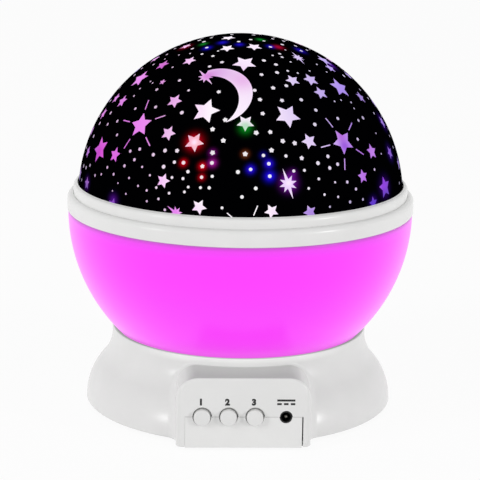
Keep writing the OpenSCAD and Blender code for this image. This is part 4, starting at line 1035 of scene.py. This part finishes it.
star_outline = edge_points(spoked([1, WAIST] * 5), 3)
twinkle_outline = edge_points(spoked([1, 0.29, 0.58, 0.29, 0.58, 0.29, 0.58, 0.29] * 2), 2)
dot_outline = spoked([1] * 14)
stub_outline = edge_points(spoked([1.12, 0.82] * 5), 2)
print("points round a star, a twinkle, a dot and a stub:",
      [len(outline) for outline in (star_outline, twinkle_outline, dot_outline, stub_outline)])

# %% Patches that fill the outlines
INNER_R, SHIFT = 0.932, np.array([-0.271, -0.267])  # the crescent's inner circle
OUTER_TIP, INNER_TIP = 116.7, 101.1  # degrees at which its upper tip is cut off
RAY_HALF, RAY_ENDS = 0.042, [1.3, 1.7, 2.15]


def fan_patch(outline, rings):
    """Grid from the centre to the outline: point = t times the outline, for t from 0 to 1."""
    t = np.linspace(0, 1, rings + 1)[:, None, None]
    return (t * outline).reshape(-1, 2), grid_faces(rings + 1, len(outline), wrap_columns=True)[:, ::-1]


def strip_patch(near, far, steps):
    """Grid between two lines of points: near (1 - t) + far t, for t from 0 to 1."""
    t = np.linspace(0, 1, steps)[:, None, None]
    near, far = np.asarray(near), np.asarray(far)
    return (near * (1 - t) + far * t).reshape(-1, 2), grid_faces(steps, len(near))


def crescent_patch():
    """Grid between a unit circle and a shifted smaller one, from where they cross to the cut-off tip."""
    gap = np.linalg.norm(SHIFT)
    toward = math.degrees(math.atan2(SHIFT[1], SHIFT[0]))
    along = (1 - INNER_R ** 2 + gap ** 2) / (2 * gap)
    outer_half, inner_half = math.degrees(math.acos(along)), math.degrees(math.acos((along - gap) / INNER_R))
    outer = arc([0, 0], 1, toward + outer_half, OUTER_TIP, 61)
    inner = arc(SHIFT, INNER_R, toward + inner_half, INNER_TIP, 61)
    return strip_patch(inner, outer, 9)


def ray_patch():
    """A narrow bar in line with a star's point, in shares of the star's radius."""
    return strip_patch([[RAY_HALF, end] for end in RAY_ENDS], [[-RAY_HALF, end] for end in RAY_ENDS], 2)


# %% Lay the windows on the sphere
LIFT = 0.02  # the windows stand this far out of the mask
GREY_LEVEL, SPILL_SHARE = 0.8, 0.1  # strength of the grey, and how much of the spots' light comes on top


def on_sphere(flat, row):
    """Places a flat patch: u and v run right and up at the window, and the rest of the radius goes out."""
    round_deg, up_deg, size, turned = row
    a, e, t = np.radians([round_deg, up_deg, turned])
    right = np.array([np.cos(a), np.sin(a), 0])
    upward = np.array([-np.sin(e) * np.sin(a), np.sin(e) * np.cos(a), np.cos(e)])
    u = size * (flat[:, :1] * np.cos(t) - flat[:, 1:] * np.sin(t))
    v = size * (flat[:, :1] * np.sin(t) + flat[:, 1:] * np.cos(t))
    out = np.sqrt((dome_r + LIFT) ** 2 - u ** 2 - v ** 2)
    return out * direction(round_deg, up_deg) + u * right + v * upward + [0, 0, dome_z]


def lay_windows(name, jobs, pale=0.0):
    """One mesh from many patches; its light is mixed toward grey of equal strength by the pale share."""
    points, faces, start = [], [], 0
    for (flat, patch_faces), rows in jobs:
        for row in rows:
            points.append(on_sphere(flat, row))
            faces.append(patch_faces + start)
            start += len(flat)
    points = np.vstack(points)
    sweep, spill = lamp_light(ways_from_middle(points))
    sweep += pale * (GREY_LEVEL * sweep.max(axis=1, keepdims=True) - sweep)
    colours = np.minimum(np.maximum(sweep, spill) + SPILL_SHARE * spill, 1)
    make_piece(name, points, np.vstack(faces), "star_lid", window_light, colours=colours,
               crease=60)


ray_rows = np.vstack([both_sides(SUNS) + [0, 0, 0, 72 * k] for k in range(5)])
lay_windows("star_windows", [(fan_patch(star_outline, 4), both_sides(SUNS + STARS + side_stars)),
                             (ray_patch(), ray_rows),
                             (fan_patch(twinkle_outline, 4), both_sides(TWINKLES))])
lay_windows("moon_windows", [(crescent_patch(), both_sides(MOONS))])
lay_windows("dot_windows", [(fan_patch(dot_outline, 1), dot_rows[~five_pointed]),
                            (fan_patch(stub_outline, 1), dot_rows[five_pointed])], pale=0.6)

# %% [markdown]
# ## Studio
#
# The lamp stands on a pale sweep in even light. The world is a plain level at which a colour renders as it is
# written. Two broad panels shape the white parts from the front, and they leave no mirror image, because a
# broad one would wash out the gloss. Two narrow strips beside them do leave one, which draws the small bright
# spot on either side of the pod. The floor looks white because the camera sees part of it as plain white,
# while it still keeps the lamp's shadow.

# %% Floor
FLOOR_WHITE = 0.92
FLOOR_HALF = 8  # metres


def background_rays(owner):
    """1 on rays that show a background, from the camera, a mirror or clear plastic, and 0 on all others."""
    path = add(owner, "LightPath")
    seen = add(owner, "Math", {0: path.outputs["Is Camera Ray"], 1: path.outputs["Is Glossy Ray"]},
               operation="MAXIMUM")
    return add(owner, "Math", {0: seen.outputs[0], 1: path.outputs["Is Transmission Ray"]},
               operation="MAXIMUM").outputs[0]


def studio_floor():
    """Diffuse paper whose own share of white is added on the rays that show a background."""
    material, place = new_material("white_paper_sweep")
    grain = add(material, "TexNoise", {"Vector": place, "Scale": 1 / (2 * MM), "Detail": 2.0})
    colour = add(material, "ValToRGB", {"Fac": grain.outputs[0]}, [(0.3, "#fcfcfc"), (0.7, "#ffffff")])
    paper = add(material, "BsdfDiffuse", {"Color": colour.outputs[0]})
    white = add(material, "Emission", {"Color": (1, 1, 1, 1), "Strength": 1.0})
    share = add(material, "Math", {0: background_rays(material), 1: FLOOR_WHITE}, operation="MULTIPLY")
    shader = add(material, "MixShader", {0: share.outputs[0], 1: paper.outputs[0], 2: white.outputs[0]})
    return close_material(material, shader)


sheet = bpy.data.meshes.new("floor")
corners = [(x * FLOOR_HALF, y * FLOOR_HALF, 0) for x, y in ((-1, -1), (1, -1), (1, 1), (-1, 1))]
sheet.from_pydata(corners, [], [(0, 1, 2, 3)])
sheet.materials.append(studio_floor())
linked("floor", sheet)
print("floor:", 2 * FLOOR_HALF, "m square")

# %% World and panels
WORLD_LEVEL = 0.545

world = bpy.data.worlds.new("studio")
bpy.context.scene.world = world
world.use_nodes = True
world.node_tree.nodes.clear()
level = add(world, "MapRange", {"Value": background_rays(world), "To Min": WORLD_LEVEL, "To Max": 1.0})
sky = add(world, "Background", {"Color": (1, 1, 1, 1), "Strength": level.outputs[0]})
add(world, "OutputWorld", {"Surface": sky.outputs[0]})


def looking(place, target):
    """Matrix of a lamp or a camera that stands at a place and looks at a target."""
    way = Vector(target) - Vector(place)
    return Matrix.Translation(place) @ way.to_track_quat("-Z", "Y").to_matrix().to_4x4()


def soft_panel(name, place, target_z, size, watts, mirrored=True):
    """A rectangular lamp that faces the axis at a height; only a mirrored one leaves a highlight."""
    light = bpy.data.lights.new(name, "AREA")
    light.shape, light.size, light.size_y, light.energy = "RECTANGLE", size[0], size[1], watts
    panel = linked(name, light)
    panel.matrix_world = looking(place, (0, 0, target_z))
    panel.visible_glossy = mirrored
    print(f"{name}: {watts} W")


soft_panel("left_panel", (-1.4, -0.75, 0.8), 0.06, (0.5, 0.8), 6.8, False)
soft_panel("right_panel", (1.35, -0.8, 0.6), 0.06, (0.4, 0.8), 2.0, False)
soft_panel("left_strip", (-1.21, -0.78, 0.3), 0.02, (0.08, 0.25), 2.0)
soft_panel("right_strip", (1.2, -0.83, 0.3), 0.02, (0.08, 0.25), 4.2)

# %% [markdown]
# ## Camera
#
# A long lens stands a little above the ring and looks slightly down, so the dome, the ring and the pod's top
# all show. It is turned a touch to the left of the pod and tilted by less than a degree.

# %% Long lens
CAMERA_ROUND, CAMERA_UP, CAMERA_AWAY, CAMERA_TILT = -2.1, 13.45, 0.728, 0.81
AIM_Z, LENS_MM, SENSOR_MM, SHIFT_UP = 0.0659, 144.2, 36.0, -0.021

aim = Vector((0, 0, AIM_Z))
place = aim + CAMERA_AWAY * Vector(direction(CAMERA_ROUND, CAMERA_UP))
lens = bpy.data.cameras.new("portrait_lens")
lens.lens, lens.sensor_width, lens.shift_y, lens.clip_end = LENS_MM, SENSOR_MM, SHIFT_UP, 50.0
camera = linked("portrait_camera", lens)
camera.matrix_world = looking(place, aim) @ Matrix.Rotation(math.radians(CAMERA_TILT), 4, "Z")
bpy.context.scene.camera = camera
bpy.context.scene.view_settings.view_transform = "Standard"
print("camera at", [round(v, 3) for v in place])
